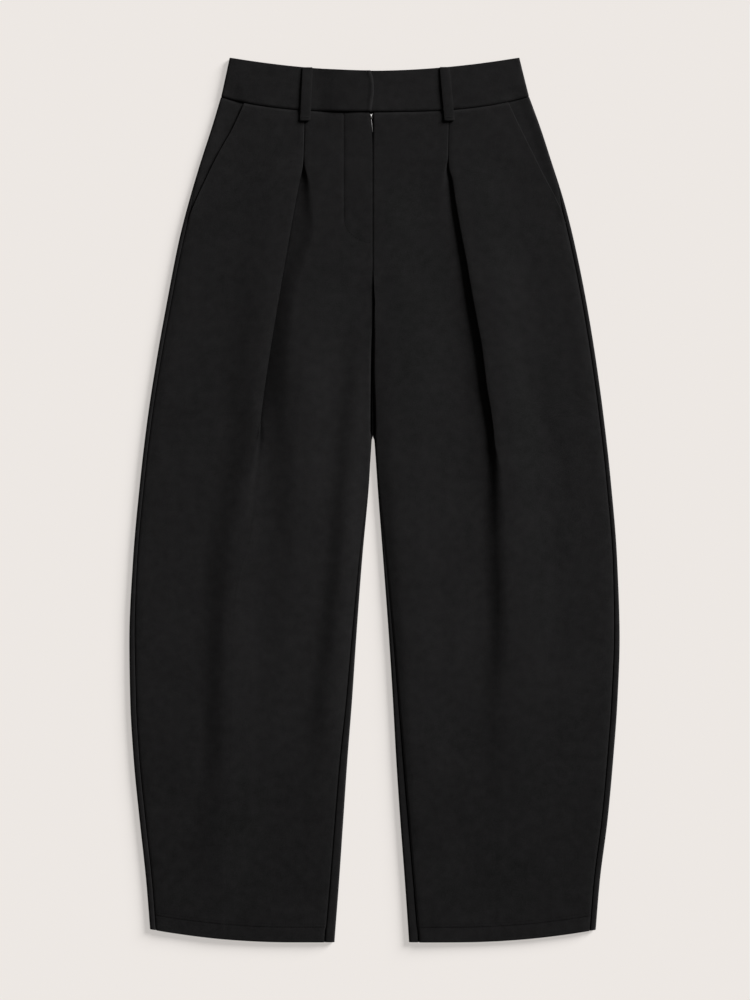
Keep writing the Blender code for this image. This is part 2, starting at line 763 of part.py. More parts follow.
def make_block(name, corners_low, corners_high, material, shear=0.0):
    """A rectangular bar. Its far end is moved across by the shear."""
    shape = bmesh.new()
    bmesh.ops.create_cube(shape, size=1.0)
    for vertex in shape.verts:
        place = [mix(low, high, vertex.co[axis] + 0.5)
                 for axis, (low, high) in enumerate(zip(corners_low, corners_high))]
        if vertex.co.y < 0.0:
            place[0] += shear
        vertex.co = place
    mesh = bpy.data.meshes.new(name)
    shape.to_mesh(mesh)
    shape.free()
    return add_object(name, mesh, material)


def make_outline_bar(name, outline, top_drop, end_drop, material):
    """A bar with one cross section, drawn in X and Z, that runs down along the fly."""
    shape = bmesh.new()
    ring = [shape.verts.new((x, LENGTH / 2.0 - top_drop, z)) for x, z in outline]
    face = shape.faces.new(ring)
    grown = bmesh.ops.extrude_face_region(shape, geom=[face])
    moved = [part for part in grown["geom"] if isinstance(part, bmesh.types.BMVert)]
    bmesh.ops.translate(shape, verts=moved, vec=(0.0, top_drop - end_drop, 0.0))
    bmesh.ops.recalc_face_normals(shape, faces=shape.faces)
    mesh = bpy.data.meshes.new(name)
    shape.to_mesh(mesh)
    shape.free()
    return add_object(name, mesh, material)


def stepped_outline(width, low, high, core_width, core_low, core_high):
    """A flat bar's section with a thicker core in its middle, round the zip's centre line."""
    half = width / 2.0
    core = core_width / 2.0
    return [
        (ZIP_OUT - half, low),
        (ZIP_OUT - core, low),
        (ZIP_OUT - core, core_low),
        (ZIP_OUT + core, core_low),
        (ZIP_OUT + core, low),
        (ZIP_OUT + half, low),
        (ZIP_OUT + half, high),
        (ZIP_OUT + core, high),
        (ZIP_OUT + core, core_high),
        (ZIP_OUT - core, core_high),
        (ZIP_OUT - core, high),
        (ZIP_OUT - half, high),
    ]


def make_zip(cloth, metal):
    """The zip behind the fly. Its slider is at the top, with the pull hanging from it."""
    outline = stepped_outline(TAPE_WIDTH, TAPE_LOW, TAPE_HIGH, CHAIN_WIDTH, CHAIN_LOW, CHAIN_HIGH)
    make_outline_bar("zip", outline, ZIP_TOP, ZIP_END, cloth)

    half = SLIDER_WIDTH / 2.0
    crown = CROWN_WIDTH / 2.0
    outline = [
        (ZIP_OUT - half, SLIDER_LOW),
        (ZIP_OUT + half, SLIDER_LOW),
        (ZIP_OUT + half, SLIDER_HIGH),
        (ZIP_OUT + crown, SLIDER_HIGH),
        (ZIP_OUT + crown, CROWN_HIGH),
        (ZIP_OUT - crown, CROWN_HIGH),
        (ZIP_OUT - crown, SLIDER_HIGH),
        (ZIP_OUT - half, SLIDER_HIGH),
    ]
    make_outline_bar("zip_slider", outline, SLIDER_TOP, SLIDER_TOP + CROWN_LENGTH, metal)

    start = SLIDER_TOP + CROWN_LENGTH + GAP
    low = (ZIP_OUT - PULL_WIDTH / 2.0, LENGTH / 2.0 - start - PULL_LENGTH, PULL_LOW)
    high = (ZIP_OUT + PULL_WIDTH / 2.0, LENGTH / 2.0 - start, PULL_HIGH)
    make_block("zip_pull", low, high, metal, shear=PULL_DRIFT)


def make_back_loop(name, leg, material):
    """A belt loop pressed flat between the back and the surface."""
    middle = leg.sign * BACK_LOOP_OUT
    low = (middle - LOOP_WIDTH / 2.0, LENGTH / 2.0 - BACK_LOOP_END, 0.0)
    high = (middle + LOOP_WIDTH / 2.0, LENGTH / 2.0 - BACK_LOOP_TOP, BACK_LOOP_WALL)
    make_block(name, low, high, material)


def build():
    clear_scene()
    cloth = make_material("cloth", (0.0130, 0.0125, 0.0130), 0.90, 0.0)
    tape = make_material("zip_tape", (0.0100, 0.0100, 0.0105), 0.85, 0.0)
    metal = make_material("zip_metal", (0.55, 0.55, 0.56), 0.35, 1.0)
    for side, leg in (("right", RIGHT_LEG), ("left", LEFT_LEG)):
        make_leg_panel("front_" + side, leg, front_section, LEVELS, cloth)
        make_leg_panel("back_" + side, leg, back_section, LEVELS, cloth)
        make_facing("pocket_facing_" + side, leg, cloth)
        make_band_front("waistband_front_" + side, leg, side == "right", cloth)
        make_back_loop("belt_loop_back_" + side, leg, cloth)
    make_band_back("waistband_back", cloth)
    make_front_loop("belt_loop_front_right", RIGHT_LEG, LOOP_RIGHT, cloth)
    make_front_loop("belt_loop_front_left", LEFT_LEG, LOOP_LEFT, cloth)
    make_zip(tape, metal)


build()
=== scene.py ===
import math
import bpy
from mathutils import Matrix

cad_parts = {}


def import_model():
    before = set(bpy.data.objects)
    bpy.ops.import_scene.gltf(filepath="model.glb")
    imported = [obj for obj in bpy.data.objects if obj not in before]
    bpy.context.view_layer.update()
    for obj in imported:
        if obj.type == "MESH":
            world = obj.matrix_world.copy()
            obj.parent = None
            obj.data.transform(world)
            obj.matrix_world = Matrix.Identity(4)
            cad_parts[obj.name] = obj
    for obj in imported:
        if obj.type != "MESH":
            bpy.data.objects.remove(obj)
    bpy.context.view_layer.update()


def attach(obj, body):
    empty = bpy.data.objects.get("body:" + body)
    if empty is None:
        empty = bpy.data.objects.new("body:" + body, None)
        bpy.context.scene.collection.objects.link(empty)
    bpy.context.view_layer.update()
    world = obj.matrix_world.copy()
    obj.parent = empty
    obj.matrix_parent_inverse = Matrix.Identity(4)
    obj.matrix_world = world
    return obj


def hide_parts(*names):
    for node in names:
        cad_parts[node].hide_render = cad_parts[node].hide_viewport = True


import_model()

from types import SimpleNamespace

import bmesh
import bpy
from mathutils import Matrix, Vector, noise
from mathutils.bvhtree import BVHTree

# The view is straight down on the garment, from high up, as the photo was taken. Each of the
# photo's 750 by 1000 pixels is 1.17 mm of the cloth.
PIXEL = 0.00117
FRAME_LENGTH = 1000 * PIXEL
CAMERA_HEIGHT = 3.2
CAMERA_OUT = 0.0006
CLOTH_HEIGHT = 0.005
SENSOR = 36.0
camera = bpy.data.objects.new("camera", bpy.data.cameras.new("camera"))
camera.data.sensor_width = SENSOR
camera.data.lens = SENSOR * (CAMERA_HEIGHT - CLOTH_HEIGHT) / FRAME_LENGTH
camera.location = (CAMERA_OUT, 0.0, CAMERA_HEIGHT)
bpy.context.scene.collection.objects.link(camera)
bpy.context.scene.camera = camera
bpy.context.scene.view_settings.view_transform = "Standard"

# The light is one very wide soft lamp, low over the wearer's left hip, with a little more from
# a plain room, which the camera sees at full brightness. It leaves a short soft shadow to the
# left of and below each edge.
LAMP_STRENGTH = 7.85
LAMP_WIDTH = 25.0
LAMP_HEIGHT = 20.0
LAMP_TURN = 38.0
ROOM_LIGHT = 0.12
ROOM_COLOUR = (0.855, 0.815, 0.783)
lamp = bpy.data.objects.new("lamp", bpy.data.lights.new("lamp", "SUN"))
lamp.data.energy = LAMP_STRENGTH
lamp.data.angle = math.radians(LAMP_WIDTH)
lamp.rotation_euler = (0.0, math.radians(90.0 - LAMP_HEIGHT), math.radians(LAMP_TURN))
bpy.context.scene.collection.objects.link(lamp)
room = bpy.data.worlds.new("room")
room.use_nodes = True
backdrop = room.node_tree.nodes["Background"]
backdrop.inputs["Color"].default_value = (*ROOM_COLOUR, 1.0)
seen = room.node_tree.nodes.new("ShaderNodeLightPath")
brightness = room.node_tree.nodes.new("ShaderNodeMath")
brightness.operation = "MULTIPLY_ADD"
brightness.inputs[1].default_value = 1.0 - ROOM_LIGHT
brightness.inputs[2].default_value = ROOM_LIGHT
room.node_tree.links.new(seen.outputs["Is Camera Ray"], brightness.inputs[0])
room.node_tree.links.new(brightness.outputs[0], backdrop.inputs["Strength"])
bpy.context.scene.world = room

# The ground is a plain, pale, matt sheet that the garment lies on. It glows evenly from below,
# as a photographer's light table does, so the shadows on it stay faint.
GROUND_SIZE = 12.0
GROUND_DROP = 0.0003
GROUND_COLOUR = ROOM_COLOUR
GROUND_GLOW = 0.58
GROUND_SHARE = 0.43


def set_inputs(node, values):
    """Give a shader node's sockets their values."""
    for socket, value in values.items():
        node.inputs[socket].default_value = value
    return node


def new_material(name, values):
    """A new material, its shader with the values, its nodes, and what links them."""
    material = bpy.data.materials.new(name)
    material.use_nodes = True
    nodes = material.node_tree.nodes
    shader = set_inputs(nodes["Principled BSDF"], values)
    return material, shader, nodes, material.node_tree.links.new


def add_object(name, shape, material):
    """A new object in the scene from its finished shape."""
    mesh = bpy.data.meshes.new(name)
    shape.to_mesh(mesh)
    shape.free()
    mesh.materials.append(material)
    made = bpy.data.objects.new(name, mesh)
    bpy.context.scene.collection.objects.link(made)
    return made


shape = bmesh.new()
bmesh.ops.create_grid(shape, x_segments=1, y_segments=1, size=GROUND_SIZE / 2.0)
bmesh.ops.translate(shape, verts=shape.verts, vec=(0.0, 0.0, -GROUND_DROP))
board = new_material("pale board", {
    "Base Color": (*(part * GROUND_SHARE for part in GROUND_COLOUR), 1.0),
    "Roughness": 1.0,
    "Specular IOR Level": 0.0,
    "Emission Color": (*GROUND_COLOUR, 1.0),
    "Emission Strength": GROUND_GLOW,
})[0]
ground = add_object("ground", shape, board)


# Backs: the two back panels of black suiting, cut with the seat and the inside leg. They lie
# under everything and wrap round both edges of each leg to the side seam and the inseam, where
# they are sewn to the fronts. Their hems are turned up and double.
LENGTH = 1.0355
CLOTH = 0.0012
HEM_CLOTH = 0.0022
HEM_DEPTH = 0.0165
HEM_TURN = 0.0012
GAP = 0.0003
SEAM_STEP = 0.0003
LAYER = 0.00155
EDGE_RADIUS = 0.0025
FRONT_TOP = 0.0058
SIDE_ROLL = 0.014
INSEAM_ROLL = 0.016
WAIST_SEAM = 0.0637
WAIST_RISE = 0.0164
WAIST_RISE_HALF = 0.1755
WAIST_RISE_LIMIT = 0.190
WAIST_RISE_FADE = 0.120
HEM_RISE = 0.0152
HEM_RISE_START = 0.095
HEM_RISE_WIDTH = 0.167
HEM_RISE_FADE_START = 0.930
HEM_RISE_FADE = 0.090
CROTCH_START = 0.300
CROTCH_FADE = 0.045
CENTRE_SEAM = 0.00025
CENTRE_OVERLAP = -0.0001
CENTRE_SEAM_CLOSED = 0.225
CENTRE_SEAM_END = 0.296
CENTRE_SEAM_FADE = 0.020
LOOP_WIDTH = 0.0125
BACK_LOOP_OUT = 0.132
BACK_LOOP_LIFT = 0.0013
BACK_LOOP_SHOULDER = 0.0020
BACK_LOOP_RAMP = 0.012
BACK_LOOP_FADE_START = 0.080
BACK_LOOP_FADE = 0.020

# How far the cloth is drawn down beside a seam, and over what distance
SEAM_DIP = 0.0004
SEAM_DIP_WIDTH = 0.0024
SEAM_DIP_FADE = 0.002
WAIST_DIP = 0.0010
WAIST_DIP_WIDTH = 0.0034
# The cloth is never quite flat: how high its soft unevenness is, how long its waves are, and the
# height over which it fades in above the flat underside
RIPPLE = 0.00022
RIPPLE_LENGTH = 0.034
RIPPLE_START = 0.0022

# Half width of each leg at its outer edge: drop from the top, wearer's right, wearer's left
SIDE = (
    (0.0455, 0.1797, 0.1811),
    (0.0848, 0.1915, 0.1953),
    (0.1199, 0.2029, 0.2067),
    (0.1667, 0.2169, 0.2216),
    (0.2135, 0.2289, 0.2335),
    (0.2837, 0.2427, 0.2478),
    (0.3539, 0.2553, 0.2594),
    (0.4241, 0.2661, 0.2689),
    (0.4943, 0.2744, 0.2767),
    (0.5879, 0.2829, 0.2843),
    (0.6815, 0.2872, 0.2872),
    (0.7517, 0.2862, 0.2847),
    (0.8219, 0.2821, 0.2796),
    (0.8921, 0.2752, 0.2731),
    (0.9623, 0.2676, 0.2641),
    (1.0208, 0.2628, 0.2591),
)
# Inner edge of each front, down the fly, centre seam and inseam: drop, wearer's right, left
INNER = (
    (0.0630, 0.0062, -0.0012),
    (0.0700, 0.0058, -0.0010),
    (0.0740, 0.0046, -0.0008),
    (0.0883, 0.0031, -0.0008),
    (0.0965, 0.0026, -0.0012),
    (0.1080, 0.0023, -0.0014),
    (0.2450, 0.0022, -0.0014),
    (0.2750, 0.0021, -0.0016),
    (0.2950, 0.0019, -0.0021),
    (0.4418, 0.0019, -0.0021),
    (0.4444, 0.0022, -0.0017),
    (0.4464, 0.0031, -0.0004),
    (0.4552, 0.0037, 0.0004),
    (0.4663, 0.0044, 0.0011),
    (0.4768, 0.0051, 0.0019),
    (0.4943, 0.0060, 0.0030),
    (0.5879, 0.0144, 0.0101),
    (0.6815, 0.0214, 0.0170),
    (0.7517, 0.0261, 0.0214),
    (0.8219, 0.0316, 0.0253),
    (0.8921, 0.0364, 0.0300),
    (0.9623, 0.0412, 0.0353),
    (1.0325, 0.0466, 0.0402),
)
# How far in from the outer edge the side seam lies, where the back ends: drop, distance
SIDE_SEAM = (
    (0.1180, 0.0),
    (0.1300, 0.0002),
    (0.1390, 0.0006),
    (0.1490, 0.0014),
    (0.1590, 0.0026),
    (0.1810, 0.0053),
    (0.5900, 0.0053),
    (0.6300, 0.0060),
    (0.7500, 0.0073),
    (1.0300, 0.0073),
)
# How far along the cloth the inseam lies from the inner edge: drop, distance
INSEAM = (
    (0.4450, 0.0),
    (0.4710, 0.0005),
    (0.5880, 0.0040),
    (0.6810, 0.0060),
    (0.7520, 0.0075),
    (0.8220, 0.0095),
    (0.8920, 0.0105),
    (1.0200, 0.0117),
)
# Low creases that the back took from lying folded: half widths on the inner and the outer side,
# then rows of drop, place and height
BACK_CREASES = (
    (0.010, 0.010, ((0.300, 0.052, 0.0), (0.360, 0.078, 0.0007), (0.430, 0.112, 0.0005),
                    (0.490, 0.136, 0.0))),
    (0.014, 0.014, ((0.520, 0.190, 0.0), (0.600, 0.204, 0.0008), (0.700, 0.212, 0.0006),
                    (0.790, 0.214, 0.0))),
    (0.009, 0.009, ((0.560, 0.062, 0.0), (0.640, 0.080, 0.0006), (0.720, 0.092, 0.0007),
                    (0.850, 0.098, 0.0))),
    (0.012, 0.012, ((0.130, 0.090, 0.0), (0.180, 0.101, 0.0006), (0.250, 0.108, 0.0))),
)


def smooth(t):
    """Soft step from 0 to 1."""
    t = min(max(t, 0.0), 1.0)
    return t * t * (3.0 - 2.0 * t)


def mix(a, b, t):
    """From a to b as t goes from 0 to 1."""
    return a + (b - a) * t


def spread(start, end, count):
    """The places after start, up to and with end, in equal steps."""
    return [mix(start, end, (i + 1) / count) for i in range(count)]


def curve(keys, values):
    """A smooth function through the values that never swings past them."""
    last = len(keys) - 1
    slopes = [(values[i + 1] - values[i]) / (keys[i + 1] - keys[i]) for i in range(last)]
    tangents = [slopes[0]]
    for before, after in zip(slopes, slopes[1:]):
        turns = before * after <= 0.0
        tangents.append(0.0 if turns else 2.0 * before * after / (before + after))
    tangents.append(slopes[-1])

    def value(key):
        key = min(max(key, keys[0]), keys[-1])
        i = 0
        while i < last - 1 and key > keys[i + 1]:
            i += 1
        width = keys[i + 1] - keys[i]
        t = (key - keys[i]) / width
        lead_in = t * (1.0 - t) ** 2 * width * tangents[i]
        lead_out = t * t * (t - 1.0) * width * tangents[i + 1]
        return mix(values[i], values[i + 1], smooth(t)) + lead_in + lead_out

    return value


def column(rows, index):
    """One column of a table as a smooth function of its first column."""
    return curve([row[0] for row in rows], [row[index] for row in rows])


def soft_folds(tables):
    """Folds or creases as functions of the drop, from the half widths and rows of each."""
    return [(inner, outer, column(rows, 1), column(rows, 2)) for inner, outer, rows in tables]


side_seam = column(SIDE_SEAM, 1)
inseam = column(INSEAM, 1)
right = SimpleNamespace(name="right", sign=-1.0, side=column(SIDE, 1), inner=column(INNER, 1),
                        band_side=SIDE[0][1], creases=soft_folds(BACK_CREASES[:3]))
left = SimpleNamespace(name="left", sign=1.0, side=column(SIDE, 2), inner=column(INNER, 2),
                       band_side=SIDE[0][2], creases=soft_folds(BACK_CREASES[1:]))
LEGS = (right, left)


def levels_down(start, *stretches):
    """Levels from the start down through stretches, each with its end and its spacing."""
    levels = [start]
    for end, step in stretches:
        levels += spread(levels[-1], end, max(1, round((end - levels[-1]) / step)))
    return levels


def bent_drop(level, out):
    """The waist seam and the hem rise towards the sides, and the levels near them follow."""
    reach = min(abs(out), WAIST_RISE_LIMIT) / WAIST_RISE_HALF
    waist = WAIST_RISE * reach ** 3 * (1.0 - smooth((level - WAIST_SEAM) / WAIST_RISE_FADE))
    reach = max(out - HEM_RISE_START, 0.0) / HEM_RISE_WIDTH
    hem = HEM_RISE * reach ** 2 * smooth((level - HEM_RISE_FADE_START) / HEM_RISE_FADE)
    return level - waist - hem


def settled(level, place):
    """The drop at which a level crosses the line that place gives."""
    drop = level
    for _ in range(4):
        drop = bent_drop(level, place(drop))
    return drop


def wall_at(level):
    """The cloth is double at the turned hem."""
    thicker = smooth((level - (LENGTH - HEM_DEPTH - HEM_TURN)) / HEM_TURN)
    return mix(CLOTH, HEM_CLOTH, thicker)


def seam_dip(distance):
    """How far a seam draws the cloth down at a distance from it."""
    return SEAM_DIP * (1.0 - smooth(distance / SEAM_DIP_WIDTH))


def edge_dip(distance, along):
    """The same for a seam on a rolled edge, only on the side that faces up."""
    return seam_dip(distance) * smooth(along / SEAM_DIP_FADE)


def waist_dip(level):
    """How far the waist seam draws down the top edge of a leg's pieces."""
    return WAIST_DIP * (1.0 - smooth((level - WAIST_SEAM) / WAIST_DIP_WIDTH))


def ripple(x, y, height):
    """Soft unevenness of cloth that lies on other cloth. The underside stays flat."""
    place = Vector((x / RIPPLE_LENGTH, y / RIPPLE_LENGTH, 0.0))
    wave = noise.noise(place) + 0.5 * noise.noise(place * 2.3 + Vector((7.0, 3.0, 0.0)))
    return RIPPLE * wave * smooth((height - RIPPLE_START) / RIPPLE_START)


def world(leg, level, out, height):
    """Point in the scene for a level down a leg, a distance out and a height."""
    x = leg.sign * out
    y = LENGTH / 2.0 - bent_drop(level, out)
    return (x, y, height + ripple(x, y, height))


def crotch_roll(drop):
    """0 where the centre seam joins the legs, 1 where a leg has a rolled inner edge."""
    return smooth((drop - CROTCH_START) / CROTCH_FADE)


def quarter_turn(wall):
    """Length of cloth from the outermost line of a rolled edge to its flat side."""
    return (EDGE_RADIUS - wall / 2.0) * math.pi / 2.0


def along_cloth(inset, wall):
    """Distance along the cloth for a distance in from the edge, seen from above."""
    if inset >= EDGE_RADIUS:
        return quarter_turn(wall) + inset - EDGE_RADIUS
    return (EDGE_RADIUS - wall / 2.0) * math.acos(1.0 - inset / EDGE_RADIUS)


def fold_height(folds, drop, out):
    """Height that soft folds or creases add to a panel."""
    total = 0.0
    for inner_half, outer_half, place, height in folds:
        reach = out - place(drop)
        reach /= outer_half if reach > 0.0 else inner_half
        if abs(reach) < 1.0:
            total += height(drop) * (1.0 - reach * reach) ** 2
    return total


def plain_side_top(side, out):
    """Height of the front's top face near the outer edge."""
    return mix(2.0 * EDGE_RADIUS, FRONT_TOP, smooth((side - EDGE_RADIUS - out) / SIDE_ROLL))


def side_point(side, along, wall, top):
    """Point of the rolled outer edge. The distance along the cloth is positive on the front."""
    arc = EDGE_RADIUS - wall / 2.0
    angle = min(abs(along) / arc, math.pi / 2.0)
    beyond = max(0.0, abs(along) - quarter_turn(wall))
    out = side - EDGE_RADIUS - beyond + arc * math.cos(angle)
    if along < 0.0:
        return out, EDGE_RADIUS - arc * math.sin(angle)
    climb = top(side, out) - 2.0 * EDGE_RADIUS
    return out, EDGE_RADIUS + arc * math.sin(angle) + climb


def plain_inner_top(drop, inner, out):
    """Height of the front's top face near the inner edge, without folds."""
    rolled = crotch_roll(drop) * (1.0 - smooth((out - inner - EDGE_RADIUS) / INSEAM_ROLL))
    return mix(FRONT_TOP, 2.0 * EDGE_RADIUS, rolled)


def inner_point(drop, inner, along, wall, top):
    """Point of the inner edge, flat along the centre seam and rolled below the crotch."""
    roll = crotch_roll(drop)
    arc = EDGE_RADIUS - wall / 2.0
    angle = min(abs(along) / arc, math.pi / 2.0)
    beyond = max(0.0, abs(along) - quarter_turn(wall))
    reach = (arc + (1.0 - roll) * wall / 2.0) * math.cos(angle)
    out = inner + EDGE_RADIUS + beyond - reach
    sunk = roll * arc * (1.0 - math.sin(angle))
    if along < 0.0:
        return out, wall / 2.0 + sunk
    return out, top(drop, inner, out) - wall / 2.0 - sunk


def back_lift(drop, out):
    """The back rises over the belt loops that lie between it and the ground."""
    shoulder = LOOP_WIDTH / 2.0 + BACK_LOOP_SHOULDER
    across = smooth((shoulder + BACK_LOOP_RAMP - abs(out - BACK_LOOP_OUT)) / BACK_LOOP_RAMP)
    down = 1.0 - smooth((drop - BACK_LOOP_FADE_START) / BACK_LOOP_FADE)
    return BACK_LOOP_LIFT * across * down


def back_section(leg, level):
    """The middle of the back's wall across one level, round both edges of the leg."""
    wall = wall_at(level)
    quarter = quarter_turn(wall)
    side_drop = settled(level, leg.side)
    side = leg.side(side_drop)
    seam = along_cloth(side_seam(side_drop), wall) - GAP / 2.0
    turn_start = min(seam - SEAM_STEP, quarter)
    points = []
    for along in [seam] + spread(seam, turn_start, 2) + spread(turn_start, -quarter, 7):
        out, height = side_point(side, along, wall, plain_side_top)
        points.append((out, height - edge_dip(seam - along, along)))

    apart = smooth((level - CENTRE_SEAM_END) / CENTRE_SEAM_FADE)
    shut = smooth((level - CENTRE_SEAM_CLOSED) / CENTRE_SEAM_FADE)
    inner = mix(mix(CENTRE_SEAM, CENTRE_OVERLAP, shut), leg.inner(level), apart)
    for out in spread(side - EDGE_RADIUS, inner + EDGE_RADIUS, 27)[:-1]:
        drop = bent_drop(level, out)
        crease = fold_height(leg.creases, drop, out)
        points.append((out, wall / 2.0 + back_lift(drop, out) + crease))

    end = inseam(level) - GAP / 2.0
    turn_end = min(end - SEAM_STEP, quarter)
    for along in [-quarter] + spread(-quarter, turn_end, 7) + spread(turn_end, end, 2):
        out, height = inner_point(level, inner, along, wall, plain_inner_top)
        points.append((out, height - edge_dip(end - along, along)))
    return points


def make_weave():
    """Twill suiting seen close: its ribs, its mixed yarns, and the soft cloudiness of its nap.

    Painted light and tone carries painted shade and highlight: below 0 the colour is darker, above 0
    lighter.
    """
    group = bpy.data.node_groups.new("suiting weave", "ShaderNodeTree")
    for name, kind in (("Vector", "NodeSocketVector"), ("Cloth", "NodeSocketColor"),
                       ("Ribs to the metre", "NodeSocketFloat"), ("Painted light and tone", "NodeSocketFloat")):
        group.interface.new_socket(name, in_out="INPUT", socket_type=kind)
    for name, kind in (("Color", "NodeSocketColor"), ("Roughness", "NodeSocketFloat"),
                       ("Height", "NodeSocketFloat")):
        group.interface.new_socket(name, in_out="OUTPUT", socket_type=kind)
    nodes = group.nodes
    link = group.links.new
    given = nodes.new("NodeGroupInput")
    result = nodes.new("NodeGroupOutput")

    def math_node(operation, first, second=None, third=None):
        node = nodes.new("ShaderNodeMath")
        node.operation = operation
        for socket, value in zip(node.inputs, (first, second, third)):
            if isinstance(value, (int, float)):
                socket.default_value = value
            elif value is not None:
                link(value, socket)
        return node.outputs[0]

    def cloud(scale, detail, roughness):
        values = {"Scale": scale, "Detail": detail, "Roughness": roughness}
        node = set_inputs(nodes.new("ShaderNodeTexNoise"), values)
        link(given.outputs["Vector"], node.inputs["Vector"])
        return node.outputs["Fac"]

    def sway(pattern, amount, base):
        """A base value that a pattern raises and lowers round its own middle."""
        return math_node("MULTIPLY_ADD", math_node("SUBTRACT", pattern, 0.5), amount, base)

    place = nodes.new("ShaderNodeSeparateXYZ")
    link(given.outputs["Vector"], place.inputs[0])
    turns = math_node("MULTIPLY", given.outputs["Ribs to the metre"], 2.0 * math.pi)
    diagonal = math_node("ADD", place.outputs["X"], place.outputs["Y"])
    rib = math_node("SINE", math_node("MULTIPLY", diagonal, turns))
    crossing = math_node("SINE", math_node("MULTIPLY", place.outputs["Y"],
                                           math_node("MULTIPLY", turns, 2.0)))
    weave = math_node("MULTIPLY_ADD", crossing, 0.35, rib)
    yarn = cloud(620.0, 2.0, 0.6)
    nap = cloud(95.0, 3.0, 0.55)
    shade = cloud(17.0, 2.0, 0.5)

    level = math_node("MULTIPLY_ADD", weave, 0.06, 1.0)
    level = sway(yarn, 1.6, level)
    level = sway(nap, 1.0, level)
    level = sway(shade, 0.5, level)
    # Painted shade and painted highlight from the piece's attribute darken or lighten the colour
    level = math_node("MULTIPLY_ADD", given.outputs["Painted light and tone"], 0.35, level)
    tint = nodes.new("ShaderNodeVectorMath")
    tint.operation = "SCALE"
    link(given.outputs["Cloth"], tint.inputs[0])
    link(level, tint.inputs["Scale"])
    link(tint.outputs[0], result.inputs["Color"])

    rough = sway(yarn, 0.3, 0.86)
    link(math_node("MULTIPLY_ADD", given.outputs["Painted light and tone"], -0.12, rough),
         result.inputs["Roughness"])
    height = sway(nap, 5.0, weave)
    link(sway(yarn, 2.5, height), result.inputs["Height"])
    return group


weave_group = make_weave()


def make_cloth(name, colour, ribs, rib_height, sheen):
    """A woven cloth. Its pattern follows the piece's own map, which is in metres."""
    cloth, shader, nodes, link = new_material(name, {
        "Specular IOR Level": 0.1,
        "Sheen Weight": sheen,
        "Sheen Roughness": 0.45,
        "Sheen Tint": (0.60, 0.60, 0.62, 1.0),
    })
    along = nodes.new("ShaderNodeUVMap")
    along.uv_map = "cloth"
    # The piece's painted shade and painted highlight, read from its attribute
    painted_light_and_tone = nodes.new("ShaderNodeAttribute")
    painted_light_and_tone.attribute_name = "painted_light_and_tone"
    weave = nodes.new("ShaderNodeGroup")
    weave.node_tree = weave_group
    set_inputs(weave, {"Cloth": (*colour, 1.0), "Ribs to the metre": ribs})
    bump = set_inputs(nodes.new("ShaderNodeBump"), {"Distance": rib_height})
    link(along.outputs["UV"], weave.inputs["Vector"])
    link(painted_light_and_tone.outputs["Fac"], weave.inputs["Painted light and tone"])
    link(weave.outputs["Color"], shader.inputs["Base Color"])
    link(weave.outputs["Roughness"], shader.inputs["Roughness"])
    link(weave.outputs["Height"], bump.inputs["Height"])
    link(bump.outputs["Normal"], shader.inputs["Normal"])
    return cloth


SUITING_COLOUR = (0.0076, 0.0073, 0.0075)
suiting = make_cloth("black suiting", SUITING_COLOUR, 1250.0, 0.00004, 0.03)


def lay_cloth(name, rows, wall, cloth, anchor=0, painted_light_and_tone=None, walls=None):
    """A cut piece of cloth through the rows of points, with its wall and softly rounded edges.

    The map's second direction runs along the garment. Its first runs along the cloth across it,
    measured from the anchor column, so the weave stays straight down the garment.
    """
    row_count = len(rows)
    column_count = len(rows[0])
    shape = bmesh.new()
    bmesh.ops.create_grid(shape, x_segments=column_count - 1, y_segments=row_count - 1, size=0.5)
    # A layer for the painted shade and painted highlight of each point
    painted_light_layer = shape.verts.layers.float.new("painted_light_and_tone")
    map_layer = shape.loops.layers.uv.new("cloth")
    placed = {}
    for vertex in shape.verts:
        across = round((vertex.co.x + 0.5) * (column_count - 1))
        down = round((0.5 - vertex.co.y) * (row_count - 1))
        placed[vertex] = (down, across)
    for vertex, (down, across) in placed.items():
        vertex.co = rows[down][across]
        if painted_light_and_tone:
            vertex[painted_light_layer] = painted_light_and_tone[down][across]

    mapped = []
    for row in rows:
        points = [Vector(point) for point in row]
        lengths = [0.0]
        for before, after in zip(points, points[1:]):
            lengths.append(lengths[-1] + (after - before).length)
        direction = 1.0 if points[-1].x > points[0].x else -1.0
        start = points[anchor].x - direction * lengths[anchor]
        mapped.append([start + direction * length for length in lengths])
    for face in shape.faces:
        for loop in face.loops:
            down, across = placed[loop.vert]
            loop[map_layer].uv = (mapped[down][across], rows[down][across][1])
    area = sum(face.calc_area() for face in shape.faces)
    width = max(abs(row[-1] - row[0]) for row in mapped)
    length = max(sum((Vector(rows[i + 1][j]) - Vector(rows[i][j])).length
                     for i in range(row_count - 1)) for j in range(column_count))

    shape.verts.index_update()
    row_of = {vertex.index: down for vertex, (down, across) in placed.items()}
    piece = add_object(name, shape, cloth)
    thicken = piece.modifiers.new("wall", "SOLIDIFY")
    thicken.thickness = wall
    thicken.offset = 0.0
    thicken.use_even_offset = True
    if walls:
        group = piece.vertex_groups.new(name="wall")
        for index, down in row_of.items():
            group.add([index], walls[down] / wall, "REPLACE")
        thicken.vertex_group = group.name
    soften = piece.modifiers.new("soft edges", "SUBSURF")
    soften.levels = 1
    soften.render_levels = 1
    piece.data.shade_smooth()
    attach(piece, "root")
    cut = SimpleNamespace(flat=(width * 1.001, length * 1.001), area=area)
    return piece, cut


BACK_LEVELS = levels_down(
    WAIST_SEAM, (WAIST_SEAM + 0.003, 0.0010), (0.240, 0.006), (0.436, 0.009), (0.448, 0.0015),
    (LENGTH - HEM_DEPTH - 0.004, 0.012), (LENGTH - HEM_DEPTH + 0.002, 0.0012),
    (LENGTH - 0.003, 0.004), (LENGTH, 0.001),
)
BACK_MIDDLE = 24
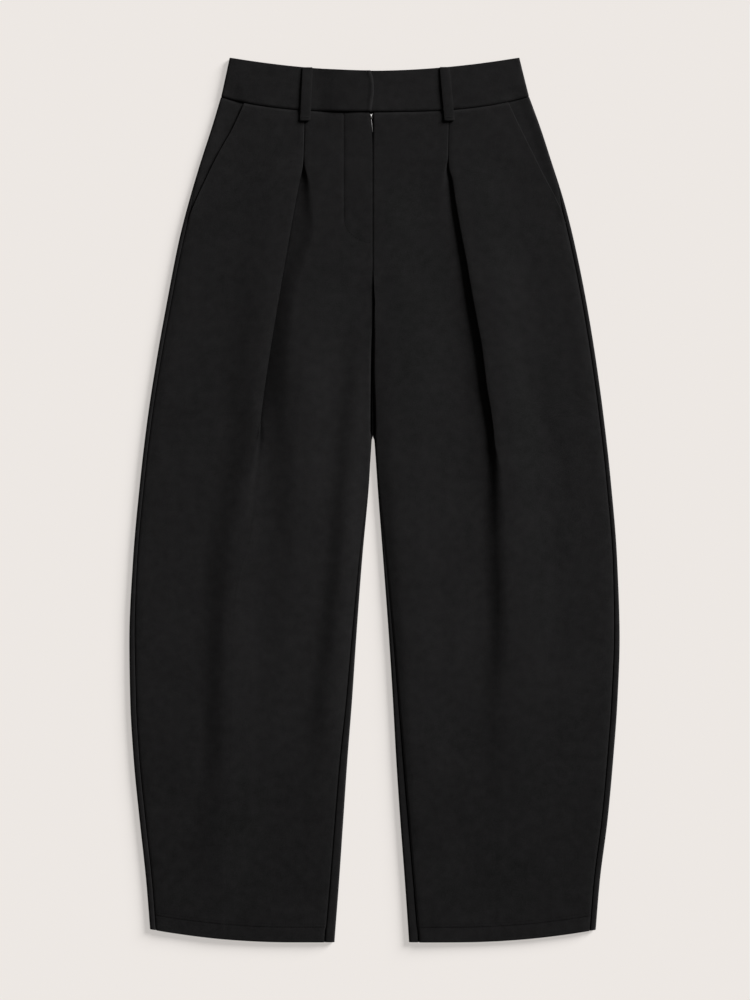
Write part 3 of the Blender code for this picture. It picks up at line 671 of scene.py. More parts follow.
# Painted shade along the backs' inner edges, which show where the fronts part
INNER_COLUMNS = 10
INNER_PAINTED_SHADE = -2.7
INNER_SHADE_START = 0.335
INNER_SHADE_FADE_IN = 0.02
INNER_SHADE_END = 0.440
INNER_SHADE_FADE_OUT = 0.006
for leg in LEGS:
    rows = [[world(leg, level, out, height) for out, height in back_section(leg, level)]
            for level in BACK_LEVELS]
    # Painted shade on the last columns, where the backs show between the parting fronts
    shades = [INNER_PAINTED_SHADE * smooth((level - INNER_SHADE_START) / INNER_SHADE_FADE_IN)
              * (1.0 - smooth((level - INNER_SHADE_END) / INNER_SHADE_FADE_OUT))
              for level in BACK_LEVELS]
    painted_light_and_tone = [[0.0] * (len(row) - INNER_COLUMNS) + [shade] * INNER_COLUMNS
               for row, shade in zip(rows, shades)]
    walls = [wall_at(level) for level in BACK_LEVELS]
    piece, cut = lay_cloth("back_" + leg.name + "_cloth", rows, HEM_CLOTH, suiting,
                           anchor=BACK_MIDDLE, painted_light_and_tone=painted_light_and_tone, walls=walls)
    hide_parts("back_" + leg.name)


# Pocket facings: a strip of the same cloth behind each slant pocket's mouth. It is sewn into the
# waist seam and the side seam, and shows as the narrow wedge between the mouth and the hip.
POCKET_END = 0.181
FACING_ROLL = 0.012
FACING_UNDER = 0.013
FACING_TURN = 0.0012
# How far in from the outer edge each pocket's mouth lies: drop, wearer's right, wearer's left
POCKET_MOUTH = (
    (0.0455, 0.0275, 0.0246),
    (0.0813, 0.0223, 0.0217),
    (0.1029, 0.0186, 0.0196),
    (0.1375, 0.0130, 0.0145),
    (0.1667, 0.0080, 0.0083),
    (0.1810, 0.0058, 0.0058),
)
for leg, index in ((right, 1), (left, 2)):
    leg.mouth = column(POCKET_MOUTH, index)


def facing_top(side, out):
    """Height of the pocket facing's top face, one layer under the front's."""
    low = FRONT_TOP - LAYER
    return mix(2.0 * EDGE_RADIUS, low, smooth((side - EDGE_RADIUS - out) / FACING_ROLL))


def facing_section(leg, level):
    """The pocket facing, from the side seam to a little under the front."""
    side_drop = settled(level, leg.side)
    side = leg.side(side_drop)
    start = along_cloth(side_seam(side_drop), CLOTH) + GAP / 2.0
    turn_start = start + SEAM_STEP
    turn_end = max(quarter_turn(CLOTH), turn_start + FACING_TURN)
    waist = waist_dip(level)
    points = []
    for along in [start] + spread(start, turn_start, 2) + spread(turn_start, turn_end, 5):
        out, height = side_point(side, along, CLOTH, facing_top)
        points.append((out, height - edge_dip(along - start, along) - waist))
    for out in spread(points[-1][0], side - leg.mouth(side_drop) - FACING_UNDER, 14):
        points.append((out, facing_top(side, out) - CLOTH / 2.0 - waist))
    return points


FACING_LEVELS = levels_down(WAIST_SEAM, (WAIST_SEAM + 0.003, 0.0010), (POCKET_END, 0.0045))
for leg in LEGS:
    rows = [[world(leg, level, out, height) for out, height in facing_section(leg, level)]
            for level in FACING_LEVELS]
    piece, cut = lay_cloth("pocket_facing_" + leg.name + "_cloth", rows, CLOTH, suiting, anchor=12)
    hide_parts("pocket_facing_" + leg.name)


# Fronts: the two front panels, each with one deep pleat that is sewn shut as a tuck for the
# first 60 mm and then falls open down the thigh. The wearer's right front laps over the fly.
J_OUT = 0.0352
J_BEND = 0.1888
J_END = 0.2170
GROOVE = 0.00035
GROOVE_OUTER = 0.0038
GROOVE_INNER = 0.0024
GROOVE_EASE = 0.6
GROOVE_EASE_FADE = 0.006
J_LINE = 0.001
FLY_FADE_START = 0.10
FLY_FADE = 0.11
WAIST_LIFT_START = 0.062
WAIST_LIFT_RAMP = 0.024
WAIST_LIFT_FADE = 0.040
HEM_STITCH = 0.0180
HEM_GROOVE = 0.0001
HEM_GROOVE_WIDTH = 0.0018
# Painted shade along the hem's line of stitches
HEM_PAINTED_SHADE = -0.8
HEM_LINE = 0.0011
# How much darker the cloth's colour is made towards the hem, where that starts, and over what drop it comes
# in
LOWER_TONE = -0.4
LOWER_TONE_START = 0.70
LOWER_TONE_FADE = 0.22
TUCK_END = 0.118
CREST_ROLL_WIDTH = 0.004
CREST_MARGIN = 0.0015
FOLD_RADIUS = 0.0009
OPEN_TURN = 90.0
POCKET_LIFT_FADE = 0.022
# The lips of the pocket's mouth and the inner edge: the first's painted highlight, and both widths
LIP_PAINTED_HIGHLIGHT = 0.3
LIP_WIDTH = 0.004
INNER_LIP_WIDTH = 0.0026
# The parting at which the centre seam no longer draws the fronts down
PARTING_SEAM = 0.0006
# Where the layer below the pleat changes how it climbs
CLIMB_START = 0.20
CLIMB_SHAPE_START = 0.22
CLIMB_FADE = 0.06
# Painted shade along each front's inner edge: drop, wearer's right, wearer's left
EDGE_PAINTED_SHADE = ((0.280, -1.2, 0.0), (0.340, -1.8, -0.4), (0.435, -1.8, -0.5), (0.475, -0.6, 0.0),
              (1.030, -0.3, 0.0))
# How far the fronts part above the crotch, where only the backs meet: drop, right, left
PARTING = (
    (0.2450, 0.0, 0.0),
    (0.2720, 0.0006, 0.0013),
    (0.2900, 0.0008, 0.0026),
    (0.3050, 0.0010, 0.0024),
    (0.3190, 0.0014, 0.0018),
    (0.3420, 0.0020, 0.0008),
    (0.3660, 0.0023, 0.0006),
    (0.3840, 0.0025, 0.0010),
    (0.4010, 0.0027, 0.0017),
    (0.4180, 0.0028, 0.0022),
    (0.4360, 0.0028, 0.0024),
    (0.4464, 0.0010, 0.0010),
    (0.4552, 0.0, 0.0),
)
for leg, index in ((right, 1), (left, 2)):
    leg.parting = column(PARTING, index)
    leg.edge_shade = column(EDGE_PAINTED_SHADE, index)
# The fly: how far it stands up, over what width, how deep its stitches sink, how much painted
# shade darkens their line, and how far it stands up at the waist seam
right.fly_lift, right.fly_ramp, right.groove, right.j_shade = 0.0008, 0.016, GROOVE, -0.9
left.fly_lift, left.fly_ramp, left.groove, left.j_shade = -0.0005, 0.034, 0.0, 0.0
right.waist_lift, left.waist_lift = 0.0006, 0.0
# The pleat: how far its crest is rolled down, how full and how late the layer below it climbs,
# and how much painted shade darkens its rim and the hollow below it
right.crest_roll, right.climb_shape, right.late, right.rim = 0.0002, 0.7, 0.7, -2.0
left.crest_roll, left.climb_shape, left.late, left.rim = 0.0004, 0.0, -0.15, 0.0

# Each pleat: where its fold edge lies, how far the cloth turns under in degrees, how deep the
# fold runs back, the height of its top, how far the layer below lies under the top, the width
# over which that layer climbs back up on the inner side, and the width over which the top layer
# rises to the fold
PLEAT_NAMES = ("drop", "fold", "turn", "run", "top", "step", "climb", "rise")
PLEAT_RIGHT = (
    (0.060, 0.0820, 180, 0.0220, 0.0059, 0.0025, 0.0010, 0.045),
    (0.115, 0.0836, 180, 0.0220, 0.0062, 0.0028, 0.0010, 0.045),
    (0.127, 0.0844, 180, 0.0220, 0.0067, 0.0040, 0.0030, 0.045),
    (0.143, 0.0877, 180, 0.0210, 0.0073, 0.0049, 0.0110, 0.045),
    (0.167, 0.0925, 180, 0.0200, 0.0073, 0.0048, 0.0190, 0.045),
    (0.202, 0.0988, 180, 0.0190, 0.0074, 0.0046, 0.0290, 0.045),
    (0.240, 0.1053, 180, 0.0170, 0.0078, 0.0050, 0.0250, 0.045),
    (0.284, 0.1128, 180, 0.0150, 0.0084, 0.0056, 0.0210, 0.045),
    (0.340, 0.1220, 180, 0.0110, 0.0090, 0.0062, 0.0250, 0.045),
    (0.400, 0.1308, 180, 0.0060, 0.0095, 0.0066, 0.0320, 0.040),
    (0.425, 0.1337, 100, 0.0030, 0.0097, 0.0050, 0.0340, 0.036),
    (0.450, 0.1366, 36, 0.0010, 0.0098, 0.0026, 0.0360, 0.034),
    (0.480, 0.1400, 15, 0.0005, 0.0098, 0.0016, 0.0360, 0.034),
    (0.521, 0.1457, 9, 0.0002, 0.0099, 0.0012, 0.0400, 0.034),
    (0.565, 0.1540, 4, 0.0002, 0.0102, 0.0006, 0.0600, 0.034),
    (0.611, 0.1620, 2, 0.0002, 0.0105, 0.0001, 0.0800, 0.034),
    (0.668, 0.1680, 2, 0.0002, 0.0104, 0.0001, 0.0800, 0.030),
    (0.747, 0.1700, 2, 0.0002, 0.0099, 0.0001, 0.0800, 0.028),
    (0.809, 0.1710, 2, 0.0002, 0.0094, 0.0001, 0.0800, 0.028),
    (0.868, 0.1730, 2, 0.0002, 0.0086, 0.0001, 0.0700, 0.034),
    (0.927, 0.1760, 2, 0.0002, 0.0074, 0.0001, 0.0400, 0.045),
    (1.035, 0.1760, 2, 0.0002, 0.0061, 0.0001, 0.0400, 0.050),
)
PLEAT_LEFT = (
    (0.060, 0.0875, 180, 0.0220, 0.0059, 0.0025, 0.0010, 0.060),
    (0.115, 0.0866, 180, 0.0220, 0.0062, 0.0028, 0.0010, 0.060),
    (0.127, 0.0868, 180, 0.0220, 0.0066, 0.0039, 0.0040, 0.060),
    (0.143, 0.0910, 180, 0.0210, 0.0073, 0.0044, 0.0130, 0.060),
    (0.167, 0.0945, 180, 0.0200, 0.0078, 0.0049, 0.0210, 0.060),
    (0.198, 0.0998, 180, 0.0190, 0.0082, 0.0052, 0.0270, 0.060),
    (0.240, 0.1078, 180, 0.0170, 0.0089, 0.0059, 0.0310, 0.060),
    (0.284, 0.1153, 180, 0.0150, 0.0096, 0.0067, 0.0340, 0.060),
    (0.342, 0.1259, 180, 0.0120, 0.0098, 0.0069, 0.0410, 0.060),
    (0.387, 0.1315, 180, 0.0090, 0.0099, 0.0069, 0.0440, 0.060),
    (0.420, 0.1370, 135, 0.0050, 0.0099, 0.0066, 0.0460, 0.060),
    (0.448, 0.1398, 82, 0.0016, 0.0098, 0.0061, 0.0480, 0.060),
    (0.475, 0.1401, 43, 0.0004, 0.0098, 0.0059, 0.0450, 0.060),
    (0.497, 0.1402, 33, 0.0003, 0.0098, 0.0060, 0.0430, 0.060),
    (0.518, 0.1404, 30, 0.0003, 0.0098, 0.0062, 0.0420, 0.060),
    (0.576, 0.1415, 20, 0.0003, 0.0096, 0.0050, 0.0400, 0.060),
    (0.635, 0.1440, 20, 0.0003, 0.0090, 0.0049, 0.0400, 0.060),
    (0.692, 0.1430, 15, 0.0003, 0.0084, 0.0042, 0.0400, 0.060),
    (0.752, 0.1385, 9, 0.0003, 0.0077, 0.0028, 0.0450, 0.060),
    (0.810, 0.1380, 6, 0.0003, 0.0070, 0.0018, 0.0500, 0.060),
    (0.870, 0.1420, 3, 0.0002, 0.0064, 0.0007, 0.0500, 0.060),
    (0.927, 0.1440, 2, 0.0002, 0.0060, 0.0001, 0.0500, 0.060),
    (1.035, 0.1440, 2, 0.0002, 0.0057, 0.0001, 0.0500, 0.060),
)
# Soft folds in each front: half widths on the inner and the outer side, then rows of drop, place
# and height
FOLDS_RIGHT = (
    (0.066, 0.075, ((0.230, 0.0800, 0.0), (0.342, 0.0820, 0.0034), (0.400, 0.0780, 0.0046),
                    (0.436, 0.0760, 0.0054), (0.518, 0.0740, 0.0058), (0.576, 0.0740, 0.0050),
                    (0.635, 0.0740, 0.0042), (0.752, 0.0800, 0.0025), (0.870, 0.0850, 0.0010),
                    (0.930, 0.0850, 0.0))),
    (0.024, 0.045, ((0.290, 0.0360, 0.0), (0.342, 0.0404, -0.0013), (0.400, 0.0462, -0.0024),
                    (0.471, 0.0521, -0.0032), (0.518, 0.0556, -0.0034), (0.576, 0.0591, -0.0034),
                    (0.635, 0.0649, -0.0033), (0.692, 0.0708, -0.0029), (0.752, 0.0766, -0.0022),
                    (0.810, 0.0825, -0.0014), (0.870, 0.0883, 0.0))),
    (0.018, 0.024, ((0.342, 0.0123, 0.0), (0.400, 0.0180, 0.0008), (0.471, 0.0240, 0.0011),
                    (0.518, 0.0275, 0.0012), (0.576, 0.0310, 0.0012), (0.635, 0.0370, 0.0012),
                    (0.752, 0.0486, 0.0008), (0.830, 0.0560, 0.0))),
)
FOLDS_LEFT = (
    (0.016, 0.016, ((0.2837, 0.1609, 0.0), (0.3305, 0.1702, -0.0003), (0.4089, 0.1901, -0.0005),
                    (0.4709, 0.2159, -0.0004), (0.5410, 0.2287, 0.0))),
    (0.012, 0.012, ((0.2135, 0.2124, 0.0), (0.3165, 0.2241, -0.0004), (0.3808, 0.2322, -0.0003),
                    (0.4358, 0.2369, 0.0))),
    (0.060, 0.028, ((0.120, 0.0600, 0.0), (0.160, 0.0650, -0.0010), (0.230, 0.0760, -0.0017),
                    (0.300, 0.0900, -0.0021), (0.400, 0.1040, -0.0024), (0.475, 0.1080, -0.0020),
                    (0.540, 0.1080, -0.0012), (0.640, 0.1080, 0.0))),
    (0.010, 0.0095, ((0.300, -0.0060, 0.0), (0.345, -0.0058, -0.0008), (0.400, -0.0050, -0.0014),
                     (0.436, -0.0040, -0.0018), (0.452, -0.0035, -0.0010), (0.475, -0.0020, 0.0))),
    (0.019, 0.055, ((0.380, 0.0180, 0.0), (0.436, 0.0190, 0.0008), (0.518, 0.0235, 0.0018),
                    (0.588, 0.0285, 0.0020), (0.680, 0.0355, 0.0020), (0.752, 0.0400, 0.0018),
                    (0.820, 0.0440, 0.0017), (0.892, 0.0490, 0.0013), (1.030, 0.0590, 0.0008))),
)
for leg, pleat_rows, fold_tables in ((right, PLEAT_RIGHT, FOLDS_RIGHT),
                                     (left, PLEAT_LEFT, FOLDS_LEFT)):
    leg.pleat = {name: column(pleat_rows, i) for i, name in enumerate(PLEAT_NAMES) if i}
    leg.folds = soft_folds(fold_tables)


def fly_height(leg, drop, out):
    """The right front laps over the left one inside the fly's J-shaped line of stitches."""
    inside = J_OUT - out
    if drop > J_BEND:
        inside = J_OUT * (1.0 - math.hypot(max(out, 0.0) / J_OUT, (drop - J_BEND) / (J_END - J_BEND)))
    sunk = 1.0 - smooth(inside / GROOVE_INNER if inside > 0.0 else -inside / GROOVE_OUTER)
    sunk *= 1.0 - GROOVE_EASE * smooth((drop - J_BEND) / GROOVE_EASE_FADE)
    lift = leg.waist_lift * smooth((WAIST_LIFT_START - out) / WAIST_LIFT_RAMP)
    lift *= 1.0 - smooth((drop - WAIST_SEAM) / WAIST_LIFT_FADE)
    fly_lift = leg.fly_lift * smooth(inside / leg.fly_ramp)
    lift += fly_lift * (1.0 - smooth((drop - FLY_FADE_START) / FLY_FADE))
    return lift - leg.groove * sunk


def hem_groove(level):
    """The line of hem stitches draws the cloth down a little."""
    distance = abs(level - (LENGTH - HEM_STITCH))
    return HEM_GROOVE * (1.0 - smooth(distance / HEM_GROOVE_WIDTH))


def inner_top(leg):
    """Height of one front's top face between the pleat and the inner edge."""
    def top(drop, inner, out):
        plain = plain_inner_top(drop, inner, out)
        return plain + fly_height(leg, drop, out) + fold_height(leg.folds, drop, out)
    return top


def pleat_fold(fold, turn, run, top, step):
    """The folded edge: over the fold, back under it, and forward again on the layer below."""
    most = math.radians(turn)
    angle = most
    if turn > OPEN_TURN:
        for _ in range(5):
            fall = max(step - 2.0 * FOLD_RADIUS * (1.0 - math.cos(angle)), 0.0)
            angle = min(most, math.pi - math.atan2(fall, run))
    soft = smooth((OPEN_TURN - turn) / 40.0)
    full = (step - run * math.sin(angle)) / (2.0 * (1.0 - math.cos(angle)))
    radius = mix(min(FOLD_RADIUS, full), full, soft)
    fall = step - 2.0 * radius * (1.0 - math.cos(angle))
    length = math.hypot(run, fall) if angle < most else max(run, fall / max(math.sin(angle), 0.05))
    crest = fold + radius * math.sin(min(angle, math.pi / 2.0))
    points = [(crest, top)]
    for turned in spread(0.0, angle, 7):
        points.append((crest - radius * math.sin(turned), top - radius * (1.0 - math.cos(turned))))
    start = points[-1]
    for along in spread(0.0, length, 3):
        points.append((start[0] - along * math.cos(angle), start[1] - along * math.sin(angle)))
    out, height = points[-1]
    for turned in spread(0.0, angle, 5):
        remaining = angle - turned
        points.append((
            out - radius * (math.sin(angle) - math.sin(remaining)),
            height - radius * (math.cos(remaining) - math.cos(angle)),
        ))
    return points


# Columns of points near the front's outer edge, and round the fly's stitched line
EDGE_INSETS = (0.0, 0.0005, 0.0012, 0.0022, 0.0036, 0.0060, 0.0100)
FLY_COLUMNS = (0.0430, 0.0396, 0.0380, 0.0366, 0.0352, 0.0341, 0.0330, 0.0295, 0.0230, 0.0150)
FLY_COLUMNS_FADE_START = 0.240
FLY_COLUMNS_FADE = 0.100
FOOT_MARGIN = 0.0006


def front_section(leg, level):
    """The middle of the front's wall across one level, with its painted shade, highlight and tone.

    It runs from the side seam or the pocket's mouth over the pleat to the inner edge.
    """
    wall = wall_at(level)
    half = wall / 2.0
    side_drop = settled(level, leg.side)
    fold_drop = settled(level, leg.pleat["fold"])
    side = leg.side(side_drop)
    inner = leg.inner(level) + leg.parting(level)
    fold, turn, run, top, step, climb, rise = [
        leg.pleat[name](fold_drop) for name in PLEAT_NAMES[1:]
    ]
    rolled = leg.crest_roll * smooth((turn - 40.0) / 60.0)
    folded = pleat_fold(fold, turn, run, top - half - rolled, step - rolled)
    rise_to = inner_top(leg)
    drawn_down = waist_dip(level) + hem_groove(level)
    # Colour made darker towards the hem, plus painted shade along the hem's line of stitches
    tone = LOWER_TONE * smooth((level - LOWER_TONE_START) / LOWER_TONE_FADE)
    on_hem = 1.0 - smooth(abs(level - (LENGTH - HEM_STITCH)) / HEM_LINE)
    tone_and_hem_shade = tone + HEM_PAINTED_SHADE * on_hem

    edge_inset = side_seam(side_drop) + GAP
    seamed = 1.0
    if side_drop < POCKET_END:
        edge_inset = leg.mouth(side_drop)
        seamed = 0.0
    edge = side - edge_inset
    crest = folded[0][0]
    lift = 1.0 - smooth((side_drop - POCKET_END) / POCKET_LIFT_FADE)
    crest_start = max(fold + run, crest) + CREST_MARGIN + rise
    points = []
    outs = [edge - inset for inset in EDGE_INSETS]
    outs += spread(outs[-1], crest + 0.010, 15) + spread(crest + 0.010, crest, 4)[:-1]
    for out in outs:
        skin = mix(plain_side_top(side, out), facing_top(side, out) + LAYER, lift)
        skin += (top - FRONT_TOP) * smooth((crest_start - out) / rise)
        skin -= rolled * max(0.0, 1.0 - (out - crest) / CREST_ROLL_WIDTH) ** 2
        skin += fold_height(leg.folds, bent_drop(level, out), out) * min(1.0, (out - crest) / 0.02)
        skin -= seam_dip(edge - out) * seamed
        # Painted highlight on the lip of the pocket's mouth
        lip = 1.0 - smooth((edge - out) / LIP_WIDTH)
        points.append((out, skin - half, tone_and_hem_shade + LIP_PAINTED_HIGHLIGHT * lip * lift))
    # Painted shade round the pleat's rim where it turns under, and fading out in the hollow below
    shade = leg.rim * smooth((turn - 10.0) / 50.0) * smooth((fold_drop - TUCK_END) / 0.012)
    for order, (out, height) in enumerate(folded):
        points.append((out, height, tone + shade * min(1.0, order / 3.0)))

    foot = min(fold - 0.0002, folded[-1][0] - FOOT_MARGIN)
    low = top - half - step
    points.append((foot, low, tone + shade))
    for t in spread(0.0, 1.0, 9):
        out = foot - climb * t
        high = rise_to(bent_drop(level, out), inner, out) - half
        late = 1.0 + leg.late * (1.0 - smooth((level - CLIMB_START) / CLIMB_FADE))
        full = leg.climb_shape * smooth((level - CLIMB_SHAPE_START) / CLIMB_FADE)
        climbed = mix(smooth(t ** late), t * (2.0 - t), full)
        points.append((out, mix(low, high, climbed), tone_and_hem_shade + 0.3 * shade * (1.0 - t) ** 2))

    end = inseam(level) + GAP / 2.0
    drawn_in = 1.0 - smooth(leg.parting(level) / PARTING_SEAM)
    turn_start = max(quarter_turn(wall), end + 0.002)
    flat_end = inner_point(level, inner, turn_start, wall, rise_to)
    even = spread(foot - climb, flat_end[0], len(FLY_COLUMNS) + 5)
    blend = smooth((level - FLY_COLUMNS_FADE_START) / FLY_COLUMNS_FADE)
    fixed = spread(foot - climb, FLY_COLUMNS[0], 4) + list(FLY_COLUMNS[1:])
    fixed += spread(FLY_COLUMNS[-1], flat_end[0], 2)
    for fixed_out, even_out in zip(fixed, even):
        out = mix(fixed_out, even_out, blend)
        # Painted shade along the fly's J line of stitches
        on_line = leg.j_shade * (1.0 - smooth(abs(out - J_OUT) / J_LINE)) * (level < J_BEND)
        points.append((out, rise_to(bent_drop(level, out), inner, out) - half, tone_and_hem_shade + on_line))
    for along in spread(turn_start, end + SEAM_STEP, 5) + spread(end + SEAM_STEP, end, 2):
        out, height = inner_point(level, inner, along, wall, rise_to)
        # Painted shade on the lip of the inner edge
        lip = 1.0 - smooth((along - end) / INNER_LIP_WIDTH)
        height -= seam_dip(along - end) * drawn_in
        points.append((out, height, tone + leg.edge_shade(level) * lip))
    return [(out, height - drawn_down, painted_tone) for out, height, painted_tone in points]


FRONT_LEVELS = levels_down(
    WAIST_SEAM, (WAIST_SEAM + 0.003, 0.0010), (0.190, 0.0036), (0.222, 0.0024), (0.300, 0.0060),
    (0.436, 0.0075), (0.448, 0.0015), (0.560, 0.0075), (LENGTH - HEM_STITCH - 0.003, 0.0105),
    (LENGTH - HEM_DEPTH + 0.002, 0.0009),
    (LENGTH - 0.003, 0.004), (LENGTH, 0.001),
)
fronts = {}
for leg in LEGS:
    sections = [front_section(leg, level) for level in FRONT_LEVELS]
    rows = [[world(leg, level, out, height) for out, height, painted_tone in section]
            for level, section in zip(FRONT_LEVELS, sections)]
    # The painted shade, painted highlight and tone of each point
    painted_light_and_tone = [[painted_tone for out, height, painted_tone in section] for section in sections]
    walls = [wall_at(level) for level in FRONT_LEVELS]
    piece, cut = lay_cloth("front_" + leg.name + "_cloth", rows, HEM_CLOTH, suiting,
                           anchor=len(rows[0]) - 20, painted_light_and_tone=painted_light_and_tone, walls=walls)
    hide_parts("front_" + leg.name)
    fronts[leg.name] = piece


# Zip: a metal zip on woven tape, sewn behind the fly. Only its slider and the top of its pull
# show, in the small gap under the waistband where the fly's edge stands away.
ZIP_OUT = -0.0041
ZIP_TOP = 0.0745
ZIP_END = 0.2120
TAPE_WIDTH = 0.026
TAPE_HEIGHT = 0.0030
TAPE_WALL = 0.0009
CHAIN_WIDTH = 0.0034
TOOTH_PITCH = 0.0018
TOOTH_LENGTH = 0.0008
TOOTH_OVERLAP = 0.0004
TOOTH_LOW = 0.0020
TOOTH_HIGH = 0.0037
SLIDER_TOP = 0.0655
SLIDER_WIDTH = 0.0044
SLIDER_LENGTH = 0.0062
SLIDER_LOW = 0.0016
SLIDER_HIGH = 0.0036
SLIDER_PLATE = 0.0005
SLIDER_TAPER = 0.72
SLIDER_WALL = 0.0003
CROWN_WIDTH = 0.0022
CROWN_HIGH = 0.0050
PULL_WIDTH = 0.0011
PULL_LENGTH = 0.0150
PULL_LOW = 0.0040
PULL_HIGH = 0.0048
PULL_DRIFT = 0.0018
TAPE_COLOUR = (0.0075, 0.0075, 0.0080)

zip_tape = make_cloth("zip tape", TAPE_COLOUR, 1600.0, 0.00006, 0.05)
rows = []
for drop in levels_down(ZIP_TOP, (ZIP_END, 0.006)):
    y = LENGTH / 2.0 - drop
    across = [ZIP_OUT - TAPE_WIDTH / 2.0] + spread(ZIP_OUT - TAPE_WIDTH / 2.0,
                                                   ZIP_OUT + TAPE_WIDTH / 2.0, 16)
    rows.append([(x, y, TAPE_HEIGHT) for x in across])
piece, cut = lay_cloth("zip_tape_cloth", rows, TAPE_WALL, zip_tape, anchor=8)
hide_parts("zip")


def make_metal(name, colour, roughness):
    """Plated zip metal: faint handling marks in its shine."""
    metal, shader, nodes, link = new_material(name, {"Metallic": 1.0})
    place = nodes.new("ShaderNodeTexCoord")
    marks = set_inputs(nodes.new("ShaderNodeTexNoise"), {"Scale": 900.0, "Detail": 3.0})
    tone = nodes.new("ShaderNodeMapRange")
    set_inputs(tone, {"To Min": roughness - 0.1, "To Max": roughness + 0.15})
    colours = nodes.new("ShaderNodeMix")
    colours.data_type = "RGBA"
    set_inputs(colours, {6: (*(part * 0.72 for part in colour), 1.0), 7: (*colour, 1.0)})
    link(place.outputs["Object"], marks.inputs["Vector"])
    link(marks.outputs["Fac"], tone.inputs["Value"])
    link(marks.outputs["Fac"], colours.inputs[0])
    link(tone.outputs["Result"], shader.inputs["Roughness"])
    link(colours.outputs[2], shader.inputs["Base Color"])
    return metal


nickel = make_metal("nickel", (0.40, 0.39, 0.385), 0.38)
# A darker copy of the nickel: painted shade for the pull, which lies under the fly
shaded_nickel = make_metal("shaded nickel", (0.16, 0.155, 0.155), 0.45)
dark_teeth = make_metal("dark zip teeth", (0.10, 0.10, 0.105), 0.42)


SMOOTH_ANGLE = 35.0


def add_piece(name, shape, material):
    """A finished hard piece from its shape."""
    bmesh.ops.recalc_face_normals(shape, faces=shape.faces)
    piece = add_object(name, shape, material)
    piece.data.shade_smooth()
    piece.data.set_sharp_from_angle(angle=math.radians(SMOOTH_ANGLE))
    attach(piece, "root")
    return piece


def add_block(shape, low, high, bevel, segments=2):
    """A block with softened edges, between its lowest and highest corner."""
    size = [b - a for a, b in zip(low, high)]
    middle = [(a + b) / 2.0 for a, b in zip(low, high)]
    placing = Matrix.Translation(middle) @ Matrix.Diagonal((*size, 1.0))
    made = bmesh.ops.create_cube(shape, size=1.0, matrix=placing)
    edges = {edge for vertex in made["verts"] for edge in vertex.link_edges}
    result = bmesh.ops.bevel(shape, geom=list(edges), offset=bevel, segments=segments,
                             affect="EDGES", profile=0.5, material=-1)
    return list({vertex for face in result["faces"] for vertex in face.verts}
                | {vertex for vertex in made["verts"] if vertex.is_valid})


shape = bmesh.new()
tooth_drop = ZIP_TOP + TOOTH_LENGTH
side = 1.0
while tooth_drop < ZIP_END - TOOTH_PITCH:
    inner_x = ZIP_OUT - side * TOOTH_OVERLAP
    outer_x = ZIP_OUT + side * CHAIN_WIDTH / 2.0
    y = LENGTH / 2.0 - tooth_drop
    add_block(shape, (min(inner_x, outer_x), y - TOOTH_LENGTH, TOOTH_LOW),
              (max(inner_x, outer_x), y, TOOTH_HIGH), 0.00015, 1)
    side = -side
    tooth_drop += TOOTH_PITCH / 2.0
teeth = add_piece("zip_teeth", shape, dark_teeth)

shape = bmesh.new()
slider_y = LENGTH / 2.0 - SLIDER_TOP
for low, high in ((SLIDER_LOW, SLIDER_LOW + SLIDER_PLATE),
                  (SLIDER_HIGH - SLIDER_PLATE, SLIDER_HIGH)):
    plate = add_block(shape, (ZIP_OUT - SLIDER_WIDTH / 2.0, slider_y - SLIDER_LENGTH, low),
                      (ZIP_OUT + SLIDER_WIDTH / 2.0, slider_y, high), 0.0002)
    for vertex in plate:
        narrowing = smooth((slider_y - vertex.co.y) / SLIDER_LENGTH)
        vertex.co.x = ZIP_OUT + (vertex.co.x - ZIP_OUT) * mix(1.0, SLIDER_TAPER, narrowing)
for side in (-1.0, 1.0):
    wall_x = ZIP_OUT + side * SLIDER_WIDTH * 0.36
    add_block(shape, (wall_x - SLIDER_WALL, slider_y - SLIDER_LENGTH * 0.95, SLIDER_LOW + 0.0002),
              (wall_x + SLIDER_WALL, slider_y - SLIDER_LENGTH * 0.35, SLIDER_HIGH - 0.0002), 0.0001)
arch = bmesh.ops.create_uvsphere(shape, u_segments=20, v_segments=12, radius=1.0)
for vertex in arch["verts"]:
    vertex.co = (
        ZIP_OUT + vertex.co.x * CROWN_WIDTH / 2.0,
        slider_y - SLIDER_LENGTH * 0.5 + vertex.co.y * SLIDER_LENGTH * 0.46,
        SLIDER_HIGH + vertex.co.z * (CROWN_HIGH - SLIDER_HIGH),
    )
slider = add_piece("zip_slider_metal", shape, nickel)
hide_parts("zip_slider")

shape = bmesh.new()
pull_y = slider_y - SLIDER_LENGTH - GAP
bar = add_block(shape, (ZIP_OUT - PULL_WIDTH / 2.0, pull_y - PULL_LENGTH, PULL_LOW),
                (ZIP_OUT + PULL_WIDTH / 2.0, pull_y, PULL_HIGH), 0.0003, 3)
for vertex in bar:
    vertex.co.x += PULL_DRIFT * (pull_y - vertex.co.y) / PULL_LENGTH
pull = add_piece("zip_pull_metal", shape, shaded_nickel)
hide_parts("zip_pull")


